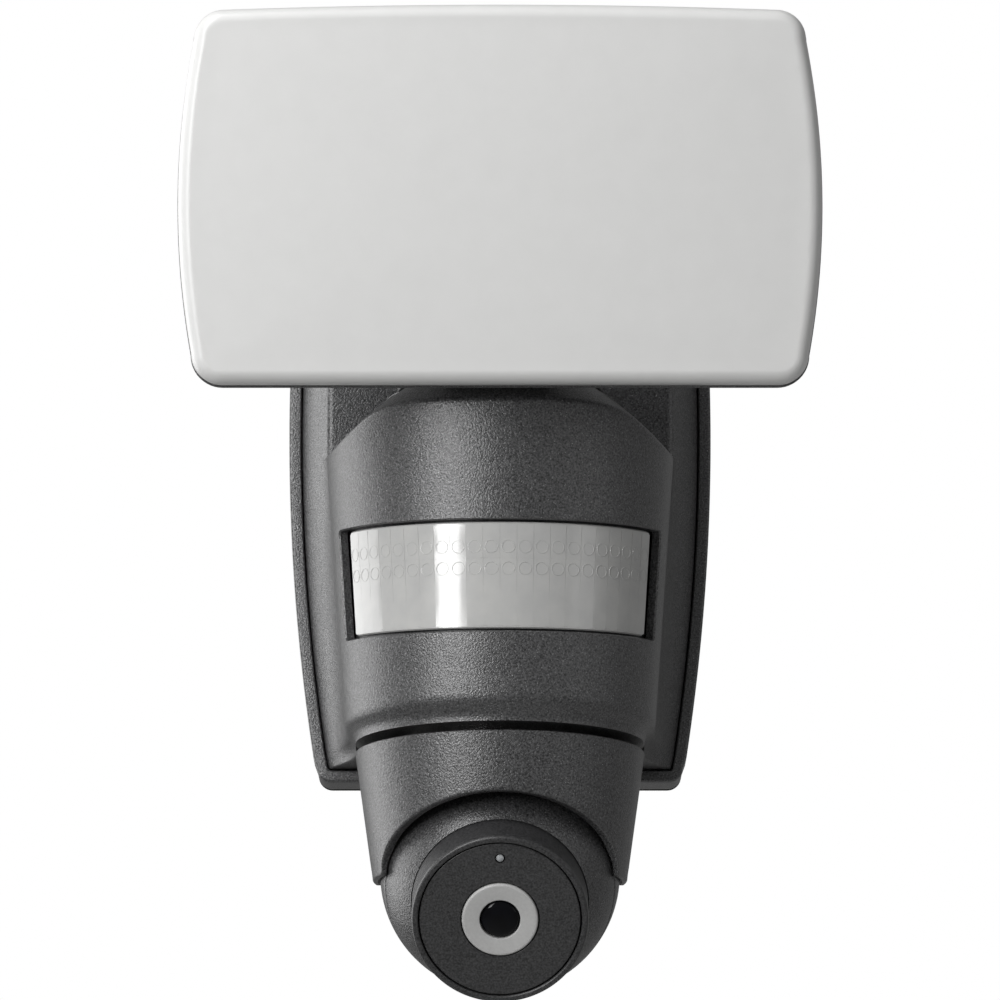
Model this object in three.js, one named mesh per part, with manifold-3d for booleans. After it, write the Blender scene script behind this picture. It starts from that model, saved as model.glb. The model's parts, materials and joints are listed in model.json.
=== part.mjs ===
// Wall-mounted LED floodlight with a motion sensor and a swivelling camera ball.
// Millimetres, +Z up. The wall is the plane Y = 0 and the front of the lamp faces -Y.
import * as THREE from "three";
import { mergeVertices } from "three/addons/utils/BufferGeometryUtils.js";
import Module from "manifold-3d";

// ---------------------------------------------------------------- driving dimensions
const GAP = 0.3; // clearance between pieces that touch
const WALL = 2.2; // moulded wall of the cover
const FACETS = 36; // facets of a full turn on the large round pieces

// wall plate: a shallow tray whose sides bow outwards
const PLATE_TOP = 46;
const PLATE_BOTTOM = -74.3;
const PLATE_HALF_WIDTH = 52.8; // at its widest height
const PLATE_WIDEST_Z = 16;
const PLATE_SIDE_RADIUS = 536;
const PLATE_DEPTH = 14;
const PLATE_FLOOR = 3;
const PLATE_RIM = 3;
const PLATE_CORNER = 3.5;
const WALL_SCREW_HOLE = 2.4;
const WALL_SCREWS = [[-34, 33.5], [34, 33.5], [-29, -57], [29, -57]];
const CABLE_Z = 24;
const CABLE_HOLE = 9;
const CABLE_BORE = 3.4;

// camera ball: the hood, the neck and the round body above it follow its radius
const BALL_RADIUS = 28.8;
const BALL_WALL = 2;
const BALL_GAP = 0.6;

// front cover: a chamfered box above, a round tapering body below
const NECK_RADIUS = BALL_RADIUS + 6.1;
const NECK_BOTTOM = -72.8;
const BODY_TOP_RADIUS = NECK_RADIUS + 7.9;
const BODY_TOP_Z = 6.9;
const BODY_TAPER = 0.0715; // radius lost per millimetre of height
const BODY_Y = -(PLATE_DEPTH + NECK_RADIUS + 0.7); // axis of the round body and of the hood
const FLAT_FACE_Y = -28;
const FLAT_HALF_WIDTH = BODY_TOP_RADIUS - 0.2;
const UPPER_BOX_LOW = -36; // hidden in the body below
const TOP_CHAMFER = 6;
const CREASE_TOP = -66;
const CREASE_BOTTOM = -69.8;
const CROWN_TOP = 30.3; // crest of the shoulder, where it meets the flat face
const CROWN_ACROSS = 0.01394; // fall to the sides, per square millimetre
const CROWN_SLOPE = 0.245; // fall towards the front
const CROWN_NOSE_Y = BODY_Y - 26.4; // the front rounds off from here
const CROWN_NOSE = 0.0365;
const CROWN_RINGS = [0.28, 0.51, 0.7, 0.84, 0.93, 1, 1.45]; // of the body's radius
const COVER_SCREW_X = 27;
const COVER_SCREW_Y = -10.6;

// motion sensor window
const LENS_TILT = THREE.MathUtils.degToRad(5.5);
const LENS_HEIGHT = 25.4;
const LENS_Y = BODY_Y - 16.4;
const LENS_Z = -34.7;
const LENS_HALF_ANGLE = 64.8;
const WINDOW_HALF_ANGLE = 72.4;
const LENS_RECESS = 0.8;
const LENS_WALL = 1.6;
const WINDOW_GAP = 0.6;

// reset button
const BUTTON_X = -31;
const BUTTON_Y = -20;
const BUTTON_RADIUS = 1.9;
const BUTTON_TRAVEL = 0.7;

// swivel turret of the lamp
const TURRET_Y = BODY_Y - 4.4;
const TURRET_RADIUS = 25;
const TURRET_SEAT_Z = 14.5;
const TURRET_HEIGHT = 3.4;
const SPIGOT_RADIUS = 11;
const SPIGOT_BORE = 7.5;

// lamp hinge and head, the head in its own frame: origin on the hinge, y back, z up
const HINGE_Y = TURRET_Y - 13;
const HINGE_Z = 27.8;
const LAMP_TILT = THREE.MathUtils.degToRad(11);
const KNUCKLE_HALF = 9;
const KNUCKLE_RADIUS = 6.6;
const WASHER = 0.8;
const LUG_WIDTH = 5;
const LUG_RADIUS = 7;
const BOLT_RADIUS = 2.4;
const FACE_Y = -43.6; // front face of the diffuser
const LAMP_HALF_WIDTH = 75.8;
const LAMP_BOTTOM = -14.6;
const LAMP_HEIGHT = 89.4;
const LAMP_SIDE_RADIUS = 200;
const LAMP_CORNER = 7;
const LAMP_CROWN = 1.2;
const DIFFUSER_DEPTH = 11;
const DIFFUSER_WALL = 2.2;
const HOUSING_BACK = 24; // depth of the housing's back, from the face
const HOUSING_WALL = 2.2;
const HOUSING_LIP = 0.5; // how far the housing's rim stands outside the diffuser
const FIN_COUNT = 9;
const FIN_PITCH = 11;
const FIN_THICK = 1.8;
const FIN_DEPTH = 5;
const LED_BOARD = { width: 112, height: 54, thick: 1.6, depth: 15.6 };
const SPREADER = { width: 118, height: 60, thick: 2, depth: 17.5 };
const LAMP_SCREW_X = 50;
const LAMP_SCREW_RISE = 22; // above and below the middle of the head

// camera hood and the fittings of the ball
const HOOD_TOP = NECK_BOTTOM - GAP;
const BALL_Z = HOOD_TOP - (BALL_RADIUS + 0.4);
const HOOD_TIP = BALL_Z - 2.1;
const HOOD_TIP_RADIUS = BALL_RADIUS + BALL_GAP + 1.1;
const HOOD_WALL = 2;
const HOOD_SPIGOT = 22;
const HOOD_SPIGOT_TOP = -65.6;
const ARCH_FOOT = HOOD_TIP + 1.6; // the arches go straight down from here
const FRONT_ARCH = { half: BALL_RADIUS - 0.6, top: HOOD_TIP + 17 };
const BACK_ARCH = { half: HOOD_TIP_RADIUS - 0.6, top: HOOD_TIP + 11.4 };
const CAMERA_TILT = THREE.MathUtils.degToRad(29);
const BALL_SPLIT = -9; // plane between the two halves, along the view axis
const BEZEL_RADIUS = 20.9;
const BEZEL_FRONT = -31;
const FACE_RADIUS = 19;
const LENS_RING_RADIUS = 9;
const GLASS_RADIUS = 4.5;
const PIVOT_RADIUS = 1;
const INDICATOR_RISE = 15.3;
const SCREW_SEAT = BALL_RADIUS - 10.8; // depth of the screws that hold the ball's halves

// ---------------------------------------------------------------- materials
const finish = (color, roughness, metalness = 0) =>
  new THREE.MeshStandardMaterial({ color, roughness, metalness });
const anthracite = finish(0x4c4d4f, 0.55, 0.25);
const darkPlastic = finish(0x2c2d2e, 0.6);
const blackPlastic = finish(0x161617, 0.5);
const opal = finish(0xeeeeec, 0.35);
const milky = finish(0xd4d4d2, 0.4);
const rubber = finish(0x1d1d1d, 0.85);
const steel = finish(0xa9abad, 0.35, 1);
const aluminium = finish(0xb9bbbd, 0.4, 1);
const circuitBoard = finish(0x1f5a38, 0.6);
const component = finish(0x222426, 0.5);
const greyRing = finish(0xa6a6a6, 0.5);
const glass = finish(0x0d0e10, 0.08);
const cream = finish(0xd9d6cc, 0.6);

// ---------------------------------------------------------------- solid modelling
const wasm = await Module();
wasm.setup();

// A three.js geometry as a closed solid with its faces outwards.
function solid(geometry) {
  const bare = geometry.index ? geometry.clone() : mergeVertices(geometry);
  bare.deleteAttribute("normal");
  bare.deleteAttribute("uv");
  const merged = mergeVertices(bare, 1e-4);
  const index = merged.index.array;
  const kept = [];
  for (let i = 0; i < index.length; i += 3) {
    const [a, b, c] = [index[i], index[i + 1], index[i + 2]];
    if (a !== b && b !== c && c !== a) kept.push(a, b, c);
  }
  const build = (order) =>
    new wasm.Manifold(
      new wasm.Mesh({
        numProp: 3,
        vertProperties: merged.attributes.position.array,
        triVerts: Uint32Array.from(order),
      }),
    );
  const made = build(kept);
  if (made.volume() > 0) return made;
  for (let i = 0; i < kept.length; i += 3) [kept[i], kept[i + 1]] = [kept[i + 1], kept[i]];
  return build(kept);
}

function geometryOf(body) {
  const { vertProperties, triVerts } = body.getMesh();
  const geometry = new THREE.BufferGeometry();
  geometry.setAttribute("position", new THREE.BufferAttribute(vertProperties, 3));
  geometry.setIndex(new THREE.BufferAttribute(triVerts, 1));
  geometry.computeVertexNormals();
  return geometry;
}

function add(parent, name, body, material) {
  const mesh = new THREE.Mesh(geometryOf(body), material);
  mesh.name = name;
  parent.add(mesh);
  return mesh;
}

const joined = (bodies) => bodies.reduce((all, body) => all.add(body));
const less = (body, cuts) => cuts.reduce((rest, cut) => rest.subtract(cut), body);

function box(x0, x1, y0, y1, z0, z1) {
  const geometry = new THREE.BoxGeometry(x1 - x0, y1 - y0, z1 - z0);
  geometry.translate((x0 + x1) / 2, (y0 + y1) / 2, (z0 + z1) / 2);
  return solid(geometry);
}

// A round bar between two places along an axis: "x", "y" or "z".
function bar(axis, radius, from, to, a, b, facets = 20) {
  const geometry = new THREE.CylinderGeometry(radius, radius, to - from, facets);
  const middle = (from + to) / 2;
  if (axis === "x") geometry.rotateZ(Math.PI / 2).translate(middle, a, b);
  if (axis === "y") geometry.translate(a, middle, b);
  if (axis === "z") geometry.rotateX(Math.PI / 2).translate(a, b, middle);
  return solid(geometry);
}

// A ring along an axis, with its bore open at both ends.
function ring(axis, outer, inner, from, to, a, b, facets = 24) {
  const whole = bar(axis, outer, from, to, a, b, facets);
  return whole.subtract(bar(axis, inner, from - 1, to + 1, a, b, facets));
}

// A turned solid about the local Y axis, from [radius, y] points that start and end on it.
function turned(profile, facets = FACETS) {
  return solid(new THREE.LatheGeometry(profile.map(([r, y]) => new THREE.Vector2(r, y)), facets));
}

// A turned solid about the vertical axis at (0, y), from [radius, z] points.
function turnedUpright(profile, y, facets = FACETS) {
  const points = profile.map(([r, z]) => new THREE.Vector2(r, z));
  const geometry = new THREE.LatheGeometry(points, facets);
  geometry.rotateX(Math.PI / 2).translate(0, y, 0);
  return solid(geometry);
}

// Skins equal rings of points and closes both ends with a fan.
function loft(rings) {
  const count = rings[0].length;
  const ends = [rings[0], rings[rings.length - 1]];
  const middles = ends.map((end) =>
    end.reduce((sum, p) => sum.add(p), new THREE.Vector3()).divideScalar(count),
  );
  const points = [...rings.flat(), ...middles];
  const index = [];
  const last = (rings.length - 1) * count;
  for (let i = 0; i < count; i++) {
    const next = (i + 1) % count;
    for (let r = 0; r < rings.length - 1; r++) {
      const [low, high] = [r * count, (r + 1) * count];
      index.push(low + i, low + next, high + next, low + i, high + next, high + i);
    }
    index.push(points.length - 2, next, i, points.length - 1, last + i, last + next);
  }
  const geometry = new THREE.BufferGeometry().setFromPoints(points);
  geometry.setIndex(index);
  return solid(geometry);
}

// A slab across the object, from [y, z] points, between two places along X.
function slabAlongX(points, x0, x1) {
  const outline = new THREE.Shape(points.map(([y, z]) => new THREE.Vector2(y, z)));
  const geometry = new THREE.ExtrudeGeometry(outline, { depth: x1 - x0, bevelEnabled: false });
  const turn = new THREE.Matrix4().makeBasis(
    new THREE.Vector3(0, 1, 0),
    new THREE.Vector3(0, 0, 1),
    new THREE.Vector3(1, 0, 0),
  );
  geometry.applyMatrix4(turn).translate(x0, 0, 0);
  return solid(geometry);
}

// An upright fan that opens to the front from the body's axis, half an angle to each side.
function frontFan(halfAngle, radius, z0, z1) {
  const steps = 8;
  const points = [new THREE.Vector2(0, 0)];
  for (let i = 0; i <= steps; i++) {
    const angle = THREE.MathUtils.degToRad(-90 - halfAngle + (2 * halfAngle * i) / steps);
    points.push(new THREE.Vector2(radius * Math.cos(angle), radius * Math.sin(angle)));
  }
  const geometry = new THREE.ExtrudeGeometry(new THREE.Shape(points), {
    depth: z1 - z0,
    bevelEnabled: false,
  });
  geometry.translate(0, BODY_Y, z0);
  return solid(geometry);
}

function arcPoints(cx, cy, radius, fromDeg, toDeg, steps) {
  return Array.from({ length: steps + 1 }, (_, i) => {
    const angle = THREE.MathUtils.degToRad(fromDeg + ((toDeg - fromDeg) * i) / steps);
    return [cx + radius * Math.cos(angle), cy + radius * Math.sin(angle)];
  });
}

// ---------------------------------------------------------------- wall plate
const plateHalf = (z) => PLATE_HALF_WIDTH - (z - PLATE_WIDEST_Z) ** 2 / (2 * PLATE_SIDE_RADIUS);

// The plate's outline, drawn in by an inset, as [x, z] points.
function plateOutline(inset) {
  const corner = Math.max(PLATE_CORNER - inset, 0.8);
  const [low, high] = [PLATE_BOTTOM + inset, PLATE_TOP - inset];
  const cornerAt = (z) => plateHalf(z) - inset - corner;
  const right = [
    ...arcPoints(cornerAt(low), low + corner, corner, -90, 0, 3),
    ...[0.2, 0.4, 0.6, 0.8].map((t) => {
      const z = THREE.MathUtils.lerp(low + corner, high - corner, t);
      return [plateHalf(z) - inset, z];
    }),
    ...arcPoints(cornerAt(high), high - corner, corner, 0, 90, 3),
  ];
  return [...right, ...right.map(([x, z]) => [-x, z]).reverse()];
}

const outlineAt = (outline, y) => outline.map(([x, z]) => new THREE.Vector3(x, y, z));
const slab = (outline, front, back) => loft([outlineAt(outline, front), outlineAt(outline, back)]);
const bottomScrews = [-COVER_SCREW_X, COVER_SCREW_X];

function wallPlate() {
  const tray = slab(plateOutline(0), -PLATE_DEPTH, 0);
  const hollow = slab(plateOutline(PLATE_RIM), -PLATE_DEPTH - 1, -PLATE_FLOOR);
  const holes = WALL_SCREWS.map(([x, z]) => bar("y", WALL_SCREW_HOLE, -9, 1, x, z, 12));
  const pads = WALL_SCREWS.map(([x, z]) => bar("y", 5, -PLATE_FLOOR - 2, -1, x, z, 12));
  const cable = bar("y", CABLE_HOLE, -9, 1, 0, CABLE_Z, 24);
  const low = PLATE_BOTTOM;
  const sinks = bottomScrews.flatMap((x) => [
    bar("z", 3, low - 1, low + 1.8, x, COVER_SCREW_Y, 12),
    bar("z", 1.6, low, low + PLATE_RIM + 1, x, COVER_SCREW_Y, 10),
  ]);
  return less(joined([tray.subtract(hollow), ...pads]), [...holes, cable, ...sinks]);
}

function bodySeal() {
  const outer = slab(plateOutline(PLATE_RIM + GAP), -7.4, -PLATE_FLOOR - GAP);
  return outer.subtract(slab(plateOutline(PLATE_RIM + GAP + 2.2), -8, 0));
}

function cableGrommet() {
  const floor = -PLATE_FLOOR;
  return turned([
    [CABLE_BORE, -GAP], [CABLE_HOLE - GAP, -GAP], [CABLE_HOLE - GAP, floor - GAP],
    [CABLE_HOLE + 3, floor - GAP], [CABLE_HOLE + 3, floor - 1.8], [7, floor - 3],
    [CABLE_BORE + 1.4, floor - 8], [CABLE_BORE, floor - 8], [CABLE_BORE, -GAP],
  ], 20).translate([0, 0, CABLE_Z]);
}

function coverScrew(x) {
  const head = bar("z", 2.6, PLATE_BOTTOM + 0.2, PLATE_BOTTOM + 1.5, x, COVER_SCREW_Y, 12);
  const shank = bar("z", 1.15, PLATE_BOTTOM + 1, -62, x, COVER_SCREW_Y, 12);
  const slot = box(x - 2, x + 2, COVER_SCREW_Y - 0.4, COVER_SCREW_Y + 0.4, -80, PLATE_BOTTOM + 0.8);
  return joined([head, shank]).subtract(slot);
}

function terminalBlock() {
  const [low, high] = [1, 12];
  const front = -14.5;
  const block = box(-16, 16, front, -PLATE_FLOOR - GAP, low, high);
  const ways = [-10.5, 0, 10.5];
  const wires = ways.map((x) => bar("z", 2, low - 1, high + 1, x, -7.5, 8));
  const wells = ways.map((x) => bar("y", 2.4, front - 1, -7.5, x, (low + high) / 2, 8));
  return less(block, [...wires, ...wells]);
}

// ---------------------------------------------------------------- front cover
const coverHalf = (z) => plateHalf(z) - PLATE_RIM - GAP;
const SKIRT_BACK = -7.7;
const COVER_BOTTOM = PLATE_BOTTOM + PLATE_RIM + GAP;
const COVER_TOP = PLATE_TOP - PLATE_RIM - GAP;

function bodyRadius(z) {
  const cone = BODY_TOP_RADIUS - (BODY_TOP_Z - Math.max(z, CREASE_TOP)) * BODY_TAPER;
  const t = THREE.MathUtils.smoothstep(-z, -CREASE_TOP, -CREASE_BOTTOM);
  return THREE.MathUtils.lerp(cone, NECK_RADIUS, t);
}

// A level section of the lower body, drawn in by an inset.
function bodySection(z, inset, back) {
  const ledge = coverHalf(z) - inset;
  const radius = bodyRadius(z) - inset;
  const right = [
    [ledge, back], [ledge, -PLATE_DEPTH], [radius + 0.1, FLAT_FACE_Y],
    ...arcPoints(0, BODY_Y, radius, 0, -90, FACETS / 4),
  ];
  const left = right.slice(0, -1).map(([x, y]) => [-x, y]).reverse();
  return [...right, ...left].map(([x, y]) => new THREE.Vector3(x, y, z));
}

// Height of the crowned shoulder: highest at the flat face, falling to the front and the sides.
function crownAt(x, y) {
  const fall = CROWN_ACROSS * x * x + CROWN_SLOPE * (FLAT_FACE_Y - y);
  return CROWN_TOP - fall - CROWN_NOSE * Math.max(0, CROWN_NOSE_Y - y) ** 2;
}

// Everything under the crowned shoulder, lowered by a drop.
function underCrown(drop) {
  const radii = CROWN_RINGS.map((share) => share * BODY_TOP_RADIUS);
  const widest = radii[radii.length - 1];
  const count = 36;
  const ringAt = (radius, z) =>
    Array.from({ length: count }, (_, i) => {
      const angle = (2 * Math.PI * i) / count;
      const [x, y] = [radius * Math.cos(angle), BODY_Y + radius * Math.sin(angle)];
      return new THREE.Vector3(x, y, z ?? crownAt(x, y) - drop);
    });
  return loft([ringAt(widest, -90), ...[...radii].reverse().map((radius) => ringAt(radius))]);
}

function lowerBody(inset, back, low) {
  const levels = [low, -69, -68, CREASE_TOP, -48, -28, -8, 31];
  const skin = loft(levels.map((z) => bodySection(z, inset, back)));
  return skin.intersect(underCrown(inset));
}

// The chamfered box behind and above the shoulder, drawn in by an inset.
function upperBox(inset, back) {
  const high = COVER_TOP - inset;
  const levels = [UPPER_BOX_LOW, -12, 6, PLATE_WIDEST_Z, 30, high - 1.5, high];
  const frontHalf = (z) => Math.min(FLAT_HALF_WIDTH, bodyRadius(z) + 0.1);
  const ringAt = (y, half, drop) => {
    const right = levels.map((z, i) => {
      const round = i === levels.length - 1 ? 1.5 : 0;
      const fall = i >= levels.length - 2 ? drop : 0;
      return new THREE.Vector3(half(z) - inset - round, y, z - fall);
    });
    return [...right, ...right.map((p) => new THREE.Vector3(-p.x, p.y, p.z)).reverse()];
  };
  return loft([
    ringAt(back, coverHalf, 0),
    ringAt(-PLATE_DEPTH, coverHalf, 0),
    ringAt(FLAT_FACE_Y + inset, frontHalf, TOP_CHAMFER),
  ]);
}

// A band across the front of the body, tilted with the sensor's lens.
function lensBand(extra) {
  const half = LENS_HEIGHT / 2 + extra;
  const rise = Math.tan(LENS_TILT);
  const line = (y, side) => [y, LENS_Z + (y - LENS_Y) * rise + side * half];
  const [front, back] = [BODY_Y - 60, BODY_Y + 0.6];
  return slabAlongX([line(front, -1), line(back, -1), line(back, 1), line(front, 1)], -60, 60);
}

const lensZone = (extra, angle) => lensBand(extra).intersect(frontFan(angle, 70, -70, 5));
const bodyCone = (inset) =>
  turnedUpright([[0, -62], [bodyRadius(-62) - inset, -62], [bodyRadius(-8) - inset, -8], [0, -8]], BODY_Y);
const coneShell = (outer, inner) => bodyCone(outer).subtract(bodyCone(inner));

function frontCover() {
  const seat = turnedUpright(
    [[0, TURRET_SEAT_Z], [TURRET_RADIUS + 0.6, TURRET_SEAT_Z], [TURRET_RADIUS + 0.6, 40], [0, 40]],
    TURRET_Y,
  );
  const neck = bar("z", NECK_RADIUS, NECK_BOTTOM, -67, 0, BODY_Y, FACETS);
  const skin = joined([lowerBody(0, SKIRT_BACK, COVER_BOTTOM), upperBox(0, SKIRT_BACK), neck]);
  const deck = bar("z", TURRET_RADIUS + 3, TURRET_SEAT_Z - 2.4, 40, 0, TURRET_Y, FACETS);
  const hollow = joined([
    lowerBody(WALL, SKIRT_BACK + 1, COVER_BOTTOM + WALL).subtract(deck),
    upperBox(WALL, SKIRT_BACK + 1),
  ]);
  const bosses = bottomScrews.map((x) => box(x - 3.5, x + 3.5, -16, -8, COVER_BOTTOM, -60));
  const holes = [
    lensZone(WINDOW_GAP, WINDOW_HALF_ANGLE),
    bar("z", SPIGOT_RADIUS + 0.4, 0, 30, 0, TURRET_Y, 24),
    bar("z", HOOD_SPIGOT + 0.4, NECK_BOTTOM - 1, -60, 0, BODY_Y, FACETS),
    bar("z", BUTTON_RADIUS + GAP, COVER_BOTTOM - 1, -60, BUTTON_X, BUTTON_Y, 16),
    ...bottomScrews.map((x) => bar("z", 1.45, COVER_BOTTOM - 1, -61.5, x, COVER_SCREW_Y, 12)),
  ];
  const shell = joined([skin.subtract(seat).subtract(hollow), ...bosses]);
  return less(shell, holes);
}

const pirLens = () =>
  coneShell(LENS_RECESS, LENS_RECESS + LENS_WALL).intersect(lensZone(0, LENS_HALF_ANGLE));

function lensFrame() {
  const front = LENS_RECESS + LENS_WALL + 0.5;
  const plate = coneShell(front, front + 1.6).intersect(lensZone(3.4, WINDOW_HALF_ANGLE + 4));
  return plate.subtract(lensZone(-1.6, LENS_HALF_ANGLE - 4));
}

// ---------------------------------------------------------------- inside the body
const DRIVER = { y: -17, low: -60, high: -6 };
const MAIN = { y: BODY_Y + 5.6, low: -60, high: -14 };
const SENSOR = { y: BODY_Y - 12.4, z: -35 };
const BOARD = 1.6;

const driverBoard = () => box(-31, 31, DRIVER.y - BOARD, DRIVER.y, DRIVER.low, DRIVER.high);
const mainBoard = () => box(-25, 25, MAIN.y - BOARD, MAIN.y, MAIN.low, MAIN.high);
const pirBoard = () => box(-13, 13, SENSOR.y - BOARD, SENSOR.y, SENSOR.z - 10, SENSOR.z + 10);

function transformer() {
  const front = DRIVER.y - BOARD - GAP;
  const core = box(-24, -6, front - 16, front, -50, -34);
  const winding = box(-21, -9, front - 18, front - 15, -48, -36);
  return joined([core, winding]);
}

const capacitor = () => bar("z", 5, -52, -32, 12, DRIVER.y - BOARD - GAP - 5.2, 20);
const wifiModule = () => box(7, 23, MAIN.y - BOARD - GAP - 2.6, MAIN.y - BOARD - GAP, -36, -18);

function pirSensor() {
  const back = SENSOR.y - BOARD - GAP;
  return turned([[0, back], [4.9, back], [4.9, back - 0.8], [4.3, back - 1], [4.3, back - 4.2],
    [2.6, back - 4.2], [2.6, back - 4], [0, back - 4]], 20).translate([0, 0, SENSOR.z]);
}

function resetButton() {
  const low = COVER_BOTTOM - 0.7;
  const inside = COVER_BOTTOM + WALL;
  const stem = bar("z", BUTTON_RADIUS, low, inside + 1.8, BUTTON_X, BUTTON_Y, 16);
  return stem.add(bar("z", 2.9, inside + GAP, inside + 1.3, BUTTON_X, BUTTON_Y, 16));
}

function buttonSwitch() {
  const low = COVER_BOTTOM + WALL + 1.8 + BUTTON_TRAVEL + GAP;
  return box(BUTTON_X - 3, BUTTON_X + 3, BUTTON_Y - 3, BUTTON_Y + 3, low, low + 3.6);
}

// ---------------------------------------------------------------- lamp turret
const LUG_INNER = KNUCKLE_HALF + 2 * GAP + WASHER;

function lampTurret() {
  const low = TURRET_SEAT_Z + GAP;
  const high = low + TURRET_HEIGHT;
  const bottom = TURRET_SEAT_Z - 8;
  const base = turnedUpright(
    [[SPIGOT_BORE, bottom], [SPIGOT_RADIUS, bottom], [SPIGOT_RADIUS, low], [16, low], [16, low + 1.7],
      [18.6, low + 1.7], [18.6, low], [TURRET_RADIUS, low], [TURRET_RADIUS, high - 1.2],
      [TURRET_RADIUS - 1.4, high], [SPIGOT_BORE, high], [SPIGOT_BORE, bottom]],
    TURRET_Y,
    32,
  );
  const crest = arcPoints(HINGE_Y, HINGE_Z, KNUCKLE_RADIUS, 205, 20, 10);
  const side = [[HINGE_Y - 7, high - 1], ...crest, [HINGE_Y + 20, high - 1]];
  const knuckle = slabAlongX(side, -KNUCKLE_HALF, KNUCKLE_HALF);
  const wireWay = bar("z", SPIGOT_BORE - 1.5, bottom - 1, high + 1, 0, TURRET_Y, 16);
  return less(joined([base, knuckle]), [
    bar("x", BOLT_RADIUS + GAP, -20, 20, HINGE_Y, HINGE_Z, 20),
    wireWay,
  ]);
}

const turretSeal = () =>
  ring("z", 18.3, 16.3, TURRET_SEAT_Z + GAP, TURRET_SEAT_Z + 1.7, 0, TURRET_Y, 24);
const turretRetainer = () =>
  ring("z", 15.5, SPIGOT_RADIUS + GAP, TURRET_SEAT_Z - 5, TURRET_SEAT_Z - 2.7, 0, TURRET_Y, 24);

const hingeWasher = (side) => {
  const from = KNUCKLE_HALF + GAP;
  const [low, high] = side > 0 ? [from, from + WASHER] : [-from - WASHER, -from];
  return ring("x", 6.2, BOLT_RADIUS + GAP, low, high, HINGE_Y, HINGE_Z, 24);
};

// ---------------------------------------------------------------- lamp head, in its own frame
const lampHalf = (z) => {
  const widest = LAMP_BOTTOM + LAMP_HEIGHT * 0.475;
  return LAMP_HALF_WIDTH - (z - widest) ** 2 / (2 * LAMP_SIDE_RADIUS);
};
const LAMP_TOP = LAMP_BOTTOM + LAMP_HEIGHT;
const LAMP_MIDDLE = LAMP_BOTTOM + LAMP_HEIGHT / 2;

// The head's outline, drawn in by an inset, as points at a depth behind the face.
function lampRing(inset, depth) {
  const corner = Math.max(LAMP_CORNER - inset, 3);
  const low = LAMP_BOTTOM + inset;
  const high = LAMP_TOP - LAMP_CROWN - inset;
  const right = [
    ...arcPoints(lampHalf(low + corner) - inset - corner, low + corner, corner, -90, 0, 4),
    ...[0.25, 0.5, 0.75].map((t) => {
      const z = THREE.MathUtils.lerp(low + corner, high - corner, t);
      return [lampHalf(z) - inset, z];
    }),
    ...arcPoints(lampHalf(high - corner) - inset - corner, high - corner, corner, 0, 90, 4),
    [LAMP_HALF_WIDTH * 0.45, high + LAMP_CROWN * 0.75],
  ];
  const left = right.map(([x, z]) => [-x, z]).reverse();
  const outline = [...right, [0, high + LAMP_CROWN], ...left];
  return outlineAt(outline, FACE_Y + depth);
}

const lampLoft = (steps) => loft(steps.map(([inset, depth]) => lampRing(inset, depth)));

function lampDiffuser() {
  const skin = lampLoft([[3.4, 0], [1.4, 0.7], [0.4, 2], [0, 4.2], [0, DIFFUSER_DEPTH]]);
  return skin.subtract(lampLoft([
    [4.6, DIFFUSER_WALL], [DIFFUSER_WALL, 5], [DIFFUSER_WALL, DIFFUSER_DEPTH + 1],
  ]));
}

const housingFront = DIFFUSER_DEPTH + GAP;
const lampBack = FACE_Y + HOUSING_BACK;
const lampScrews = [-1, 1].flatMap((sx) =>
  [-1, 1].map((sz) => [sx * LAMP_SCREW_X, LAMP_MIDDLE + sz * LAMP_SCREW_RISE]),
);

function lampHousing() {
  const skin = lampLoft([
    [-HOUSING_LIP, housingFront], [-HOUSING_LIP, 14], [1.2, 17], [5, 21], [11, HOUSING_BACK],
  ]);
  const inner = HOUSING_WALL - HOUSING_LIP;
  const hollow = lampLoft([
    [inner, housingFront - 1], [inner, 14], [4.5, 18], [11, HOUSING_BACK - HOUSING_WALL],
  ]);
  const fins = Array.from({ length: FIN_COUNT }, (_, i) => {
    const x = (i - (FIN_COUNT - 1) / 2) * FIN_PITCH;
    const low = Math.abs(x) < 20 ? LAMP_MIDDLE - 4 : LAMP_BOTTOM + 16;
    const half = FIN_THICK / 2;
    return box(x - half, x + half, lampBack - 0.5, lampBack + FIN_DEPTH, low, LAMP_TOP - 16);
  });
  const lugOutline = [
    [lampBack - 0.5, -2], ...arcPoints(0, 0, LUG_RADIUS, -115, 60, 8), [lampBack - 0.5, 20],
  ];
  const lugs = [LUG_INNER, -LUG_INNER - LUG_WIDTH].map((x) => slabAlongX(lugOutline, x, x + LUG_WIDTH));
  const cuts = [
    bar("x", BOLT_RADIUS + GAP, -20, 20, 0, 0, 20),
    ...lampScrews.flatMap(([x, z]) => [
      bar("y", 3.2, lampBack - 1.4, lampBack + 2, x, z, 16),
      bar("y", 1.6, lampBack - 4, lampBack + 2, x, z, 12),
    ]),
  ];
  return less(joined([skin.subtract(hollow), ...fins, ...lugs]), cuts);
}

const lampSeal = () =>
  lampLoft([[2.6, 9.4], [2.6, 12.8]]).subtract(lampLoft([[4.2, 8], [4.2, 14]]));

const panel = ({ width, height, thick, depth }) =>
  box(-width / 2, width / 2, FACE_Y + depth, FACE_Y + depth + thick,
    LAMP_MIDDLE - height / 2, LAMP_MIDDLE + height / 2);

const heatSpreader = () =>
  less(panel(SPREADER), lampScrews.map(([x, z]) => bar("y", 1.5, -40, -10, x, z, 12)));

function lampScrew([x, z]) {
  const head = bar("y", 2.8, lampBack - 1.3 + 0.2, lampBack, x, z, 16);
  const shank = bar("y", 1.2, FACE_Y + SPREADER.depth + 0.3, lampBack - 0.5, x, z, 12);
  const slot = box(x - 2.2, x + 2.2, lampBack - 0.5, lampBack + 1, z - 0.4, z + 0.4);
  return joined([head, shank]).subtract(slot);
}

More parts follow.
